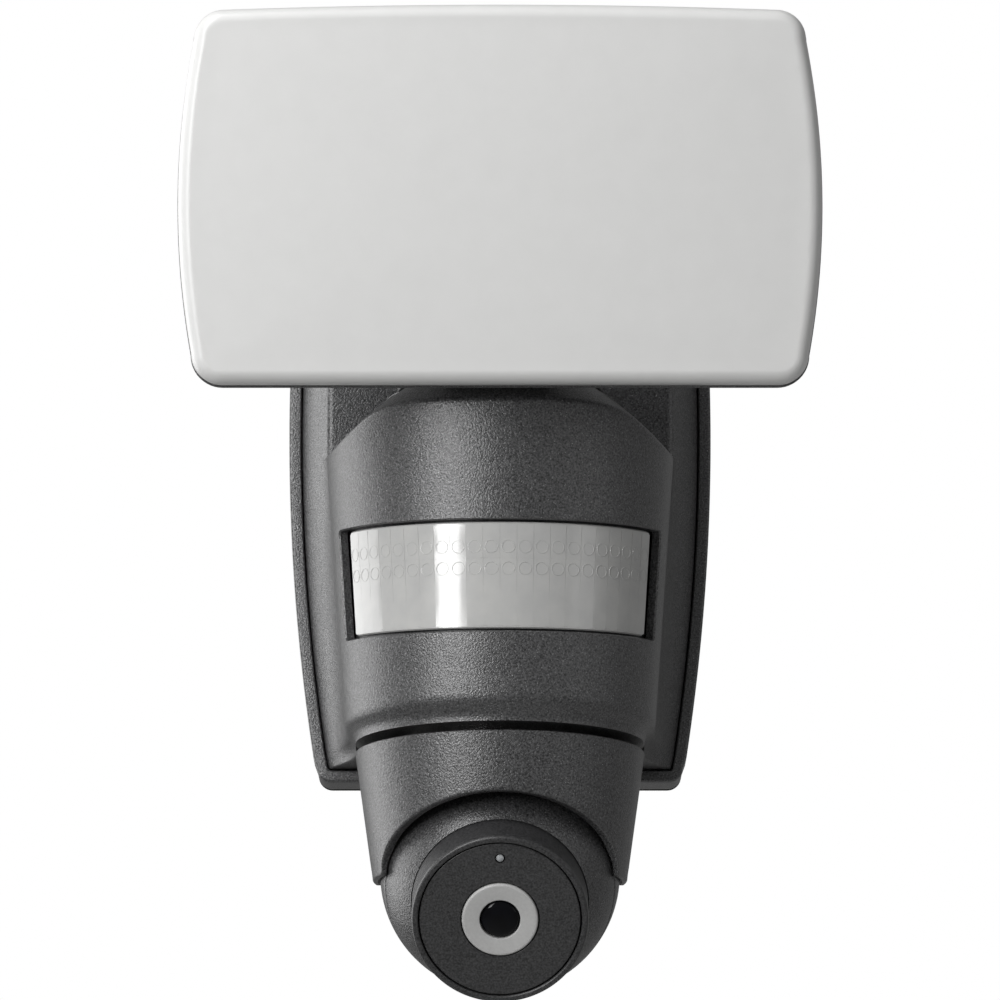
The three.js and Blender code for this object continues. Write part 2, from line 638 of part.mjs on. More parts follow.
function hingeBolt() {
  const end = LUG_INNER + LUG_WIDTH + GAP;
  const shank = bar("x", BOLT_RADIUS, -end - 1, end + 3, 0, 0, 20);
  return shank.add(bar("x", 4.4, -end - 2, -end, 0, 0, 24));
}

function hingeNut() {
  const end = LUG_INNER + LUG_WIDTH + GAP;
  const bore = bar("x", BOLT_RADIUS + GAP, end - 1, end + 4, 0, 0, 20);
  return bar("x", 4.6, end, end + 3, 0, 0, 6).subtract(bore);
}

// ---------------------------------------------------------------- camera hood
const hoodRadius = (z) =>
  THREE.MathUtils.mapLinear(z, HOOD_TOP, HOOD_TIP, NECK_RADIUS, HOOD_TIP_RADIUS);

const HOOD_LOW = HOOD_TIP - 7; // where the cutting tools end, below the hood
const HOOD_REACH = 50; // and to the front and the back of its axis

// The opening under one side of the hood: half an ellipse, cut from the axis outwards.
function archCut({ half, top }, direction) {
  const points = arcPoints(0, 0, 1, 0, 180, 18).map(
    ([x, z]) => new THREE.Vector2(x * half, ARCH_FOOT + z * (top - ARCH_FOOT)),
  );
  const feet = [new THREE.Vector2(-half, HOOD_LOW), new THREE.Vector2(half, HOOD_LOW)];
  const outline = new THREE.Shape([...points, ...feet]);
  const geometry = new THREE.ExtrudeGeometry(outline, { depth: HOOD_REACH, bevelEnabled: false });
  geometry.rotateX(Math.PI / 2).translate(0, direction < 0 ? BODY_Y : BODY_Y + HOOD_REACH, 0);
  return solid(geometry);
}

function cameraHood() {
  const skin = turnedUpright([
    [0, HOOD_TIP], [HOOD_TIP_RADIUS - 0.5, HOOD_TIP], [HOOD_TIP_RADIUS, HOOD_TIP + 0.5],
    [NECK_RADIUS, HOOD_TOP], [HOOD_SPIGOT, HOOD_TOP], [HOOD_SPIGOT, HOOD_SPIGOT_TOP], [0, HOOD_SPIGOT_TOP],
  ], BODY_Y);
  const innerTop = HOOD_TOP - 2.4;
  const cone = turnedUpright([
    [0, HOOD_LOW], [hoodRadius(HOOD_LOW) - HOOD_WALL, HOOD_LOW],
    [hoodRadius(innerTop) - HOOD_WALL, innerTop], [0, innerTop],
  ], BODY_Y);
  const room = solid(new THREE.SphereGeometry(BALL_RADIUS + BALL_GAP, 28, 16).translate(0, BODY_Y, BALL_Z));
  return less(skin, [
    cone,
    room,
    archCut(FRONT_ARCH, -1),
    archCut(BACK_ARCH, 1),
    bar("z", 6, -80, -60, 0, BODY_Y, 16),
    bar("x", PIVOT_RADIUS + GAP, -40, 40, BODY_Y, BALL_Z, 12),
  ]);
}

const hoodRetainer = () =>
  ring("z", HOOD_SPIGOT + 5.5, HOOD_SPIGOT + GAP, COVER_BOTTOM + WALL + GAP, HOOD_SPIGOT_TOP, 0, BODY_Y, 28);

// ---------------------------------------------------------------- camera ball, along its own view axis
const INNER = BALL_RADIUS - BALL_WALL;
const onSphere = (radius, y) => Math.sqrt(radius * radius - y * y);

// Points on a sphere's profile between two places along the view axis.
function spherePoints(radius, from, to, steps) {
  const start = Math.acos(from / radius);
  const end = Math.acos(to / radius);
  return Array.from({ length: steps + 1 }, (_, i) => {
    const angle = THREE.MathUtils.lerp(start, end, i / steps);
    return [radius * Math.sin(angle), radius * Math.cos(angle)];
  });
}

const ballScrews = [-14, 14];

const pivotHoles = () => bar("x", PIVOT_RADIUS + GAP, -40, 40, 0, 0, 12);

// A headed pin from inside the ball out through one leg of the hood.
function pivotPin(side) {
  const [head, shoulder, end] = [INNER - 1.9, INNER - 0.6, HOOD_TIP_RADIUS + 0.1];
  const along = (from, to) => (side > 0 ? [from, to] : [-to, -from]);
  const cap = bar("x", 2.6, ...along(head, shoulder), BODY_Y, BALL_Z, 16);
  return cap.add(bar("x", PIVOT_RADIUS, ...along(head, end), BODY_Y, BALL_Z, 12));
}

function ballRear() {
  const seam = BALL_SPLIT + GAP / 2;
  const skin = turned([[0, BALL_RADIUS], ...spherePoints(BALL_RADIUS, BALL_RADIUS, seam, 9).slice(1),
    [onSphere(INNER, seam), seam], ...spherePoints(INNER, seam, INNER, 8).slice(1), [0, BALL_RADIUS]], 28);
  const wells = ballScrews.map((x) => bar("y", 3, SCREW_SEAT, 40, x, 0, 10));
  const posts = ballScrews.map((x) => bar("y", 4.4, SCREW_SEAT - 6, SCREW_SEAT + 4, x, 0, 10));
  const pierced = ballScrews.map((x) => bar("y", 1.6, 0, 40, x, 0, 8));
  return less(joined([skin, ...posts]), [...wells, ...pierced, pivotHoles()]);
}

function ballFront() {
  const seam = BALL_SPLIT - GAP / 2;
  const mouth = BEZEL_RADIUS + GAP;
  const end = -onSphere(BALL_RADIUS, mouth);
  return turned([[onSphere(BALL_RADIUS, seam), seam],
    ...spherePoints(BALL_RADIUS, seam, end, 4).slice(1),
    [mouth, -onSphere(INNER, mouth)],
    ...spherePoints(INNER, -onSphere(INNER, mouth), seam, 3).slice(1),
    [onSphere(BALL_RADIUS, seam), seam]], 28);
}

function ballSeal() {
  const outer = onSphere(INNER, BALL_SPLIT - 1) - GAP;
  return ring("y", outer, outer - 1.6, BALL_SPLIT - 1, BALL_SPLIT + 1, 0, 0, 24);
}

function ballScrew(x) {
  const head = bar("y", 2.7, SCREW_SEAT + 0.4, SCREW_SEAT + 2, x, 0, 16);
  const shank = bar("y", 1.3, 2, SCREW_SEAT + 1, x, 0, 12);
  return joined([head, shank]).subtract(box(x - 2, x + 2, SCREW_SEAT + 1.4, SCREW_SEAT + 3, -0.4, 0.4));
}

const cameraBezel = () =>
  turned([[FACE_RADIUS + GAP, -14], [BEZEL_RADIUS, -14], [BEZEL_RADIUS, BEZEL_FRONT + 1.6],
    [BEZEL_RADIUS - 0.5, BEZEL_FRONT + 0.5], [FACE_RADIUS + 0.7, BEZEL_FRONT],
    [FACE_RADIUS + GAP, BEZEL_FRONT + 0.3], [FACE_RADIUS + GAP, -14]], 28);

const plateFront = BEZEL_FRONT + 0.5;
function cameraFace() {
  const disc = ring("y", FACE_RADIUS, LENS_RING_RADIUS + GAP, plateFront, plateFront + 2, 0, 0, 28);
  return disc.subtract(bar("y", 0.9 + GAP, -40, -20, 0, INDICATOR_RISE, 8));
}

const lensRing = () =>
  turned([[GLASS_RADIUS + GAP, plateFront - 0.2], [LENS_RING_RADIUS - 0.3, plateFront - 0.6],
    [LENS_RING_RADIUS, plateFront - 0.3], [LENS_RING_RADIUS, plateFront + 2.4],
    [GLASS_RADIUS + GAP, plateFront + 2.4], [GLASS_RADIUS + GAP, plateFront - 0.2]], 24);

const lensGlass = () =>
  turned([[0, plateFront - 0.9], [2.4, plateFront - 0.6], [GLASS_RADIUS, plateFront + 0.6],
    [GLASS_RADIUS, plateFront + 3.2], [0, plateFront + 3.2]], 20);

const lensBarrel = () => ring("y", 7.6, 5, plateFront + 3.6, -9.6, 0, 0, 16);
const imageSensor = () => box(-4.5, 4.5, -9.2, -8, -3.5, 3.5);
const cameraBoard = () => box(-15, 15, -7.7, -6.3, -12, 12);
const indicator = () => bar("y", 0.9, plateFront - 0.1, -22, 0, INDICATOR_RISE, 12);

// ---------------------------------------------------------------- assembly
const camera = new THREE.Group();
camera.name = "floodlight_camera";

add(camera, "wall_plate", wallPlate(), anthracite);
add(camera, "body_seal", bodySeal(), rubber);
add(camera, "cable_grommet", cableGrommet(), rubber);
add(camera, "terminal_block", terminalBlock(), cream);
add(camera, "front_cover", frontCover(), anthracite);
bottomScrews.forEach((x, i) => add(camera, `cover_screw_${i + 1}`, coverScrew(x), steel));
add(camera, "pir_lens", pirLens(), milky);
add(camera, "pir_lens_frame", lensFrame(), darkPlastic);
add(camera, "driver_board", driverBoard(), circuitBoard);
add(camera, "transformer", transformer(), component);
add(camera, "capacitor", capacitor(), component);
add(camera, "main_board", mainBoard(), circuitBoard);
add(camera, "wifi_module", wifiModule(), steel);
add(camera, "pir_board", pirBoard(), circuitBoard);
add(camera, "pir_sensor", pirSensor(), steel);
add(camera, "reset_button", resetButton(), blackPlastic);
add(camera, "button_switch", buttonSwitch(), component);

add(camera, "lamp_turret", lampTurret(), anthracite);
add(camera, "turret_seal", turretSeal(), rubber);
add(camera, "turret_retainer", turretRetainer(), steel);
[-1, 1].forEach((side, i) => add(camera, `hinge_washer_${i + 1}`, hingeWasher(side), steel));

const lamp = new THREE.Group();
lamp.position.set(0, HINGE_Y, HINGE_Z);
lamp.rotation.x = LAMP_TILT;
camera.add(lamp);
add(lamp, "lamp_diffuser", lampDiffuser(), opal);
add(lamp, "lamp_housing", lampHousing(), anthracite);
add(lamp, "lamp_seal", lampSeal(), rubber);
add(lamp, "led_board", panel(LED_BOARD), aluminium);
add(lamp, "heat_spreader", heatSpreader(), aluminium);
lampScrews.forEach((place, i) => add(lamp, `lamp_screw_${i + 1}`, lampScrew(place), steel));
add(lamp, "hinge_bolt", hingeBolt(), steel);
add(lamp, "hinge_nut", hingeNut(), steel);

add(camera, "camera_hood", cameraHood(), anthracite);
add(camera, "hood_retainer", hoodRetainer(), darkPlastic);
[-1, 1].forEach((side, i) => add(camera, `pivot_pin_${i + 1}`, pivotPin(side), steel));

const ball = new THREE.Group();
ball.position.set(0, BODY_Y, BALL_Z);
ball.rotation.x = CAMERA_TILT;
camera.add(ball);
add(ball, "ball_rear", ballRear(), anthracite);
add(ball, "ball_front", ballFront(), anthracite);
add(ball, "ball_seal", ballSeal(), rubber);
ballScrews.forEach((x, i) => add(ball, `ball_screw_${i + 1}`, ballScrew(x), steel));
add(ball, "camera_bezel", cameraBezel(), darkPlastic);
add(ball, "camera_face", cameraFace(), darkPlastic);
add(ball, "lens_ring", lensRing(), greyRing);
add(ball, "lens_glass", lensGlass(), glass);
add(ball, "lens_barrel", lensBarrel(), blackPlastic);
add(ball, "image_sensor", imageSensor(), component);
add(ball, "camera_board", cameraBoard(), circuitBoard);
add(ball, "indicator_window", indicator(), milky);

export default camera;
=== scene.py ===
"""Looks of a wall-mounted LED floodlight with a motion sensor and a swivelling camera ball.

The sub-assembly classes work in millimetres, and a mesh turns to metres when it is made.
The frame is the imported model's: +Z up, the wall is the plane y = 0, the front faces -Y.
"""

import json
import logging
import math
from collections.abc import Iterable, Sequence
from dataclasses import dataclass, field
from enum import Enum

import bmesh
import bpy
from mathutils import Matrix, Vector


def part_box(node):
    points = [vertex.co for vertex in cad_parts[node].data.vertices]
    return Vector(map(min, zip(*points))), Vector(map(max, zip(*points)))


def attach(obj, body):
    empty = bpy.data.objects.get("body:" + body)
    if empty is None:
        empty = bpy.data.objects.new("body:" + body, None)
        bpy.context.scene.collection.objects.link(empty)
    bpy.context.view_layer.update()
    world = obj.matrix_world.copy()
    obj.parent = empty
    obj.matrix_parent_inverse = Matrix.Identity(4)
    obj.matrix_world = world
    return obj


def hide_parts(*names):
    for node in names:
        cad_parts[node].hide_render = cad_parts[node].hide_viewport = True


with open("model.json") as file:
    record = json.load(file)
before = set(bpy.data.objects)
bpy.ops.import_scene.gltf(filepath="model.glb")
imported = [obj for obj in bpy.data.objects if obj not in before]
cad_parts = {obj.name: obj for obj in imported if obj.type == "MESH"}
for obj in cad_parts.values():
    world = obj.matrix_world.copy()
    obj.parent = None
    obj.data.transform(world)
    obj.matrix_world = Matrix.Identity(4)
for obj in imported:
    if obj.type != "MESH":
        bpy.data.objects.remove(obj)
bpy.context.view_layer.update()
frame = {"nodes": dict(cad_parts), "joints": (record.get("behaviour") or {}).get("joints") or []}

log = logging.getLogger("floodlight")

MM = 0.001
Point = tuple[float, float, float]
Flat = tuple[float, float]
Row = list[Point]


# ---------------------------------------------------------------- small maths


def lerp(a: float, b: float, t: float) -> float:
    """The value a share t of the way from a to b."""
    return a + (b - a) * t


def smooth(t: float) -> float:
    """A share eased in and out, held between 0 and 1."""
    t = min(1.0, max(0.0, t))
    return t * t * (3 - 2 * t)


def shares(steps: int) -> list[float]:
    """Evenly spaced shares from 0 to 1, both ends included."""
    return [i / steps for i in range(steps + 1)]


def arc(centre: Flat, radii: Flat, start: float, end: float, steps: int) -> list[Flat]:
    """Points along an elliptical arc.

    Args:
        centre: Middle of the ellipse.
        radii: Half its width and half its height.
        start: First angle in degrees, anticlockwise from the first axis.
        end: Last angle in degrees.
        steps: How many stretches the arc is split into.

    Returns:
        The points, both ends included.
    """
    points = []
    for t in shares(steps):
        angle = math.radians(lerp(start, end, t))
        points.append((centre[0] + radii[0] * math.cos(angle), centre[1] + radii[1] * math.sin(angle)))
    return points


def curve(
    start: Sequence[float], control: Sequence[float], end: Sequence[float], t: float
) -> tuple[float, ...]:
    """The point a share t along the soft curve that a corner is rounded with.

    Args:
        start: Where the curve begins.
        control: The sharp corner that it rounds.
        end: Where the curve ends.
        t: Share of the way along it.

    Returns:
        A point with as many numbers as the corner.
    """
    weights = ((1 - t) ** 2, 2 * t * (1 - t), t * t)
    return tuple(
        weights[0] * a + weights[1] * b + weights[2] * c for a, b, c in zip(start, control, end)
    )


@dataclass(frozen=True)
class Span:
    """A CAD node's box in millimetres."""

    low: Point
    high: Point

    @classmethod
    def of(cls, node: str) -> "Span":
        """The box of one CAD node at rest."""
        low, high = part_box(node)
        return cls(tuple(v / MM for v in low), tuple(v / MM for v in high))


def pivot(joint: str) -> Vector:
    """A joint's place in millimetres."""
    found = next(j for j in frame["joints"] if j["name"] == joint)
    return Vector(found["pos_m"]) / MM


def tilted(place: Vector, degrees: float) -> Matrix:
    """The frame of a sub-assembly that is turned about X at a place."""
    return Matrix.Translation(place) @ Matrix.Rotation(math.radians(degrees), 4, "X")


# ---------------------------------------------------------------- nodes


def node(
    tree: bpy.types.NodeTree, kind: str, inputs: dict | None = None, **settings: object
) -> bpy.types.Node:
    """Adds one node, sets its properties and fills or links its inputs.

    Args:
        tree: The shader or geometry tree.
        kind: Blender's name for the node's type.
        inputs: Input name or number to a value, or to the socket that feeds it.
        settings: Properties of the node itself.

    Returns:
        The new node.
    """
    made = tree.nodes.new(kind)
    for name, value in settings.items():
        setattr(made, name, value)
    for key, value in (inputs or {}).items():
        if isinstance(value, bpy.types.NodeSocket):
            tree.links.new(value, made.inputs[key])
        else:
            made.inputs[key].default_value = value
    return made


def linear(hex_colour: str) -> tuple[float, float, float, float]:
    """An sRGB hex colour as linear red, green, blue and alpha."""
    values = [int(hex_colour[i : i + 2], 16) / 255 for i in (1, 3, 5)]
    red, green, blue = [v / 12.92 if v <= 0.04045 else ((v + 0.055) / 1.055) ** 2.4 for v in values]
    return (red, green, blue, 1.0)


def per_metre(millimetres: float) -> float:
    """The texture scale whose pattern repeats about once in a real size."""
    return 1 / (millimetres * MM)


# ---------------------------------------------------------------- finishes


class Slot(Enum):
    """The record's material slots that a made piece takes its finish from."""

    PAINT = "body_paint"
    OPAL = "opal_diffuser"
    SENSOR = "sensor_lens"
    DARK = "dark_plastic"
    BLACK = "black_plastic"
    RING = "lens_ring_grey"
    GLASS = "lens_glass"
    INDICATOR = "indicator"
    RUBBER = "rubber"
    STEEL = "steel"
    ALUMINIUM = "aluminium"
    BOARD = "circuit_board"
    COMPONENT = "component"
    CREAM = "terminal_cream"


@dataclass(frozen=True)
class Finish:
    """One surface finish: two tones broken up by a grain, with a relief of the same grain."""

    name: str
    slot: Slot
    deep: str
    pale: str
    grain_mm: float
    roughness: float
    spread: float = 0.08
    metallic: float = 0.0
    ior: float = 1.5
    relief_mm: float = 0.02
    stretch: Point = (1.0, 1.0, 1.0)
    cloud_mm: float = 18.0
    drift: float = 0.35
    sockets: dict[str, object] = field(default_factory=dict)

    def material(self) -> bpy.types.Material:
        """The finish's Blender material, made once.

        Returns:
            The material, which later calls share.
        """
        found = bpy.data.materials.get(self.name)
        if found:
            return found
        made = bpy.data.materials.new(self.name)
        made.use_nodes = True
        tree = made.node_tree
        tree.nodes.clear()
        self.build(tree)
        return made

    def place(self, tree: bpy.types.NodeTree) -> bpy.types.NodeSocket:
        """Object coordinates, stretched along the direction of the process."""
        coordinates = node(tree, "ShaderNodeTexCoord")
        mapped = node(
            tree, "ShaderNodeMapping", {"Vector": coordinates.outputs["Object"], "Scale": self.stretch}
        )
        return mapped.outputs["Vector"]

    def noise(self, tree: bpy.types.NodeTree, size_mm: float, detail: float = 2.0) -> bpy.types.NodeSocket:
        """A noise value whose lumps have a real size in millimetres."""
        made = node(
            tree,
            "ShaderNodeTexNoise",
            {"Vector": self.place(tree), "Scale": per_metre(size_mm), "Detail": detail},
        )
        return made.outputs["Fac"]

    def tones(self, tree: bpy.types.NodeTree, value: bpy.types.NodeSocket) -> bpy.types.NodeSocket:
        """The deep and the pale tone, blended over a value's middle range."""
        share = node(tree, "ShaderNodeMapRange", {"Value": value, "From Min": 0.3, "From Max": 0.7})
        ramp = node(tree, "ShaderNodeValToRGB", {"Fac": share.outputs["Result"]})
        ramp.color_ramp.elements[0].color = linear(self.deep)
        ramp.color_ramp.elements[1].color = linear(self.pale)
        return ramp.outputs["Color"]

    def build(self, tree: bpy.types.NodeTree) -> None:
        """Lays out the finish's nodes.

        Args:
            tree: The material's empty node tree.
        """
        fine = self.noise(tree, self.grain_mm, 3.0)
        broad = self.noise(tree, self.cloud_mm, 1.0)
        drift = node(tree, "ShaderNodeMath", {0: broad, 1: self.drift}, operation="MULTIPLY").outputs[0]
        both = node(tree, "ShaderNodeMath", {0: fine, 1: drift}, operation="ADD").outputs[0]
        value = node(tree, "ShaderNodeMath", {0: both, 1: self.drift / 2}, operation="SUBTRACT").outputs[0]
        rough = node(
            tree,
            "ShaderNodeMapRange",
            {
                "Value": broad,
                "To Min": self.roughness - self.spread,
                "To Max": self.roughness + self.spread,
            },
        ).outputs["Result"]
        bump = node(
            tree,
            "ShaderNodeBump",
            {"Height": fine, "Distance": self.relief_mm * MM, "Strength": 1.0},
        ).outputs["Normal"]
        surface = node(
            tree,
            "ShaderNodeBsdfPrincipled",
            {
                "Base Color": self.tones(tree, value),
                "Roughness": rough,
                "Metallic": self.metallic,
                "IOR": self.ior,
                "Normal": bump,
                **self.sockets,
            },
        )
        node(tree, "ShaderNodeOutputMaterial", {"Surface": surface.outputs["BSDF"]})


@dataclass(frozen=True)
class SpeckledPaint(Finish):
    """Textured powder paint: satin, with pale flecks painted into its colour as glints where the grains catch
    the light.
    """

    # Colour and size of the painted glints: pale flecks that stand in for grains catching the light.
    glint_fleck: str = "#9C9C9D"
    glint_fleck_mm: float = 0.52

    def tones(self, tree: bpy.types.NodeTree, value: bpy.types.NodeSocket) -> bpy.types.NodeSocket:
        """The two tones with pale flecks, painted glints, scattered over them."""
        ground = super().tones(tree, value)
        cells = node(
            tree,
            "ShaderNodeTexVoronoi",
            {"Vector": self.place(tree), "Scale": per_metre(self.glint_fleck_mm), "Randomness": 1.0},
        )
        near = node(
            tree,
            "ShaderNodeMapRange",
            {"Value": cells.outputs["Distance"], "From Min": 0.32, "From Max": 0.12},
        ).outputs["Result"]
        rare = node(
            tree,
            "ShaderNodeMapRange",
            {"Value": cells.outputs["Color"], "From Min": 0.45, "From Max": 0.95},
        ).outputs["Result"]
        share = node(tree, "ShaderNodeMath", {0: near, 1: rare}, operation="MULTIPLY").outputs[0]
        mixed = node(tree, "ShaderNodeMixRGB", {"Fac": share, "Color1": ground, "Color2": linear(self.glint_fleck)})
        return mixed.outputs["Color"]


# Textured powder paint on moulded ABS: a dark satin skin with a fine sparkle of raised grains, partly from
# relief and partly painted into its colour as pale glint flecks.
# The real grain is near 0.1 mm; it is drawn at 0.45 mm, as coarse as it has to be to show.
PAINT = SpeckledPaint(
    "anthracite_textured_powder_paint",
    Slot.PAINT,
    "#0C0C0D",
    "#616162",
    grain_mm=0.45,
    roughness=0.32,
    spread=0.02,
    metallic=0.2,
    ior=1.8,
    relief_mm=0.16,
    drift=0.06,
)

# Opal acrylic, injection moulded: even, slightly warm white with a soft shine and no grain to speak of.
OPAL = Finish(
    "opal_moulded_acrylic",
    Slot.OPAL,
    "#DBDBDA",
    "#DDDDDC",
    grain_mm=6.0,
    roughness=0.34,
    spread=0.01,
    ior=1.49,
    relief_mm=0.0008,
    drift=0.1,
    cloud_mm=60.0,
    sockets={"Subsurface Weight": 0.15, "Subsurface Radius": (0.004, 0.004, 0.004), "Subsurface Scale": 1.0},
)

# High-density polyethylene, moulded thin: milky, waxy and half clear, so the cells show as faint shades.
SENSOR = Finish(
    "milky_moulded_polyethylene",
    Slot.SENSOR,
    "#B2B2B1",
    "#BABAB8",
    grain_mm=5.0,
    roughness=0.2,
    spread=0.02,
    ior=1.54,
    relief_mm=0.003,
    cloud_mm=20.0,
    drift=0.2,
    sockets={"Coat Weight": 0.5, "Coat Roughness": 0.1},
)

# Polycarbonate with a spark-eroded mould texture: near black, matt, with a very fine tooth.
DARK = Finish(
    "matt_spark_textured_polycarbonate",
    Slot.DARK,
    "#141415",
    "#464647",
    grain_mm=0.45,
    roughness=0.4,
    spread=0.03,
    ior=1.58,
    relief_mm=0.03,
    drift=0.06,
)

# Black nylon, moulded: plain, satin and a little uneven in shine.
BLACK = Finish(
    "black_moulded_nylon",
    Slot.BLACK,
    "#121213",
    "#1D1D1F",
    grain_mm=0.8,
    roughness=0.42,
    ior=1.53,
    relief_mm=0.01,
)

# Light grey ABS, moulded and satin: the collar that frames the lens.
RING = Finish(
    "light_grey_moulded_abs",
    Slot.RING,
    "#BBBBBA",
    "#C3C3C2",
    grain_mm=0.7,
    roughness=0.45,
    ior=1.52,
    relief_mm=0.006,
)

# Optical glass, polished, with an anti-reflective coating: black and deep, with one small sharp highlight.
GLASS = Finish(
    "polished_coated_glass",
    Slot.GLASS,
    "#060608",
    "#0C0D11",
    grain_mm=3.0,
    roughness=0.035,
    spread=0.01,
    ior=1.26,
    relief_mm=0.0005,
)

# Light-guide acrylic, moulded: a small cloudy point.
INDICATOR = Finish(
    "cloudy_moulded_light_guide",
    Slot.INDICATOR,
    "#8F9294",
    "#B4B7B9",
    grain_mm=0.6,
    roughness=0.2,
    ior=1.49,
    relief_mm=0.004,
)

# Silicone rubber, moulded: dull and dusty black.
RUBBER = Finish(
    "moulded_silicone_rubber",
    Slot.RUBBER,
    "#141414",
    "#232322",
    grain_mm=0.4,
    roughness=0.78,
    ior=1.43,
    relief_mm=0.02,
)

# Zinc-plated steel, cold formed: bright grey with faint turning lines.
STEEL = Finish(
    "zinc_plated_cold_formed_steel",
    Slot.STEEL,
    "#8E9093",
    "#B9BBBE",
    grain_mm=0.5,
    roughness=0.33,
    metallic=1.0,
    relief_mm=0.01,
    stretch=(1.0, 6.0, 1.0),
)

# Rolled aluminium sheet: pale metal with rolling lines along X.
ALUMINIUM = Finish(
    "rolled_aluminium_sheet",
    Slot.ALUMINIUM,
    "#A9ABAD",
    "#C6C8CA",
    grain_mm=0.6,
    roughness=0.38,
    metallic=1.0,
    relief_mm=0.01,
    stretch=(0.05, 1.0, 1.0),
)

# Glass-epoxy board under green solder mask: smooth, with a faint weave of about 0.6 mm.
BOARD = Finish(
    "green_solder_mask_on_glass_epoxy",
    Slot.BOARD,
    "#174A2E",
    "#256B45",
    grain_mm=0.6,
    roughness=0.35,
    ior=1.55,
    relief_mm=0.01,
    stretch=(1.0, 1.0, 0.4),
)

# Moulded epoxy and varnished windings: black-brown and slightly rough.
COMPONENT = Finish(
    "moulded_epoxy_component",
    Slot.COMPONENT,
    "#17181A",
    "#2C2A27",
    grain_mm=0.6,
    roughness=0.5,
    ior=1.55,
    relief_mm=0.02,
)

# Polyamide terminal block, moulded: warm cream with a soft shine.
CREAM = Finish(
    "cream_moulded_polyamide",
    Slot.CREAM,
    "#CFCBBE",
    "#DEDACE",
    grain_mm=1.2,
    roughness=0.48,
    ior=1.53,
    relief_mm=0.01,
)


# ---------------------------------------------------------------- meshes


class Skin:
    """Gathers points in millimetres and faces, then becomes one mesh in metres."""

    def __init__(self) -> None:
        """Starts empty."""
        self.points: Row = []
        self.faces: list[tuple[int, ...]] = []

    def grid(self, rows: Sequence[Row], close_rows: bool = False, close_columns: bool = False) -> "Skin":
        """Adds a net of quads.

        Args:
            rows: Rows of equally many points.
            close_rows: Joins the last row to the first.
            close_columns: Joins the last point of each row to its first.

        Returns:
            The skin itself.
        """
        start = len(self.points)
        wide = len(rows[0])
        tall = len(rows)
        for row in rows:
            self.points.extend(row)
        for j in range(tall if close_rows else tall - 1):
            low = start + j * wide
            high = start + (j + 1) % tall * wide
            for i in range(wide if close_columns else wide - 1):
                k = (i + 1) % wide
                self.faces.append((low + i, low + k, high + k, high + i))
        return self

    def walled(self, outer: list[Row], inner: list[Row], between: Sequence[list[Row]] = ()) -> "Skin":
        """Adds a closed wall: two nets of the same layout, joined along their edges.

        Args:
            outer: Rows of the outside.
            inner: Rows of the inside.
            between: Nets whose edges the wall's rim passes through on its way.

        Returns:
            The skin itself.
        """
        self.grid(outer)
        self.grid(inner)
        nets = [outer, *between, inner]
        self.grid([net[0] for net in nets])
        self.grid([net[-1] for net in nets])
        self.grid([[row[0] for row in net] for net in nets])
        self.grid([[row[-1] for row in net] for net in nets])
        return self

    def mesh(self, name: str, place: Matrix | None = None) -> bpy.types.Mesh:
        """Makes the mesh, welded and with its faces outwards.

        Args:
            name: Name of the mesh.
            place: Where the sub-assembly's own frame stands, in millimetres.

        Returns:
            The mesh in metres.
        """
        made = bpy.data.meshes.new(name)
        made.from_pydata(self.points, [], self.faces)
        tidy(made, place or Matrix.Identity(4))
        return made


def tidy(mesh: bpy.types.Mesh, place: Matrix) -> None:
    """Welds a mesh in millimetres, turns its faces outwards and scales it to metres.

    Args:
        mesh: The mesh to change.
        place: Where its own frame stands, in millimetres.
    """
    work = bmesh.new()
    work.from_mesh(mesh)
    bmesh.ops.remove_doubles(work, verts=work.verts, dist=0.002)
    bmesh.ops.dissolve_degenerate(work, edges=work.edges, dist=0.001)
    bmesh.ops.recalc_face_normals(work, faces=work.faces)
    work.transform(Matrix.Scale(MM, 4) @ place)
    work.to_mesh(mesh)
    work.free()
    mesh.update()


def as_object(mesh: bpy.types.Mesh, name: str) -> bpy.types.Object:
    """Puts a mesh into the scene as an object at the origin."""
    made = bpy.data.objects.new(name, mesh)
    bpy.context.scene.collection.objects.link(made)
    return made


def bare(piece: bpy.types.Object) -> bpy.types.Mesh:
    """A copy of a piece's mesh. The piece itself is taken away."""
    made = piece.data.copy()
    bpy.data.objects.remove(piece)
    return made


def settle(piece: bpy.types.Object) -> bpy.types.Object:
    """Turns a piece's modifiers into a plain mesh and takes them off.

    Args:
        piece: The object with live modifiers.

    Returns:
        The same object.
    """
    graph = bpy.context.evaluated_depsgraph_get()
    plain = bpy.data.meshes.new_from_object(piece.evaluated_get(graph))
    piece.modifiers.clear()
    old = piece.data
    piece.data = plain
    bpy.data.meshes.remove(old)
    return piece


class Carve(Enum):
    """What a tool does to a body."""

    ADD = "UNION"
    CUT = "DIFFERENCE"


def carve(piece: bpy.types.Object, how: Carve, tools: Iterable[bpy.types.Mesh]) -> bpy.types.Object:
    """Adds solid tools to a piece, or cuts them from it.

    Args:
        piece: The closed body.
        how: Add or cut.
        tools: Closed meshes in the same frame.

    Returns:
        The piece, with a plain mesh.
    """
    for mesh in tools:
        tool = as_object(mesh, f"{piece.name}_tool")
        made = piece.modifiers.new("carve", "BOOLEAN")
        made.operation = how.value
        made.solver = "EXACT"
        made.object = tool
        bpy.context.view_layer.update()
        settle(piece)
        bpy.data.objects.remove(tool)
        bpy.data.meshes.remove(mesh)
    return piece


def shade(mesh: bpy.types.Mesh, degrees: float) -> None:
    """Shades a mesh smooth, with its edges crisp past an angle."""
    mesh.shade_smooth()
    mesh.set_sharp_from_angle(angle=math.radians(degrees))


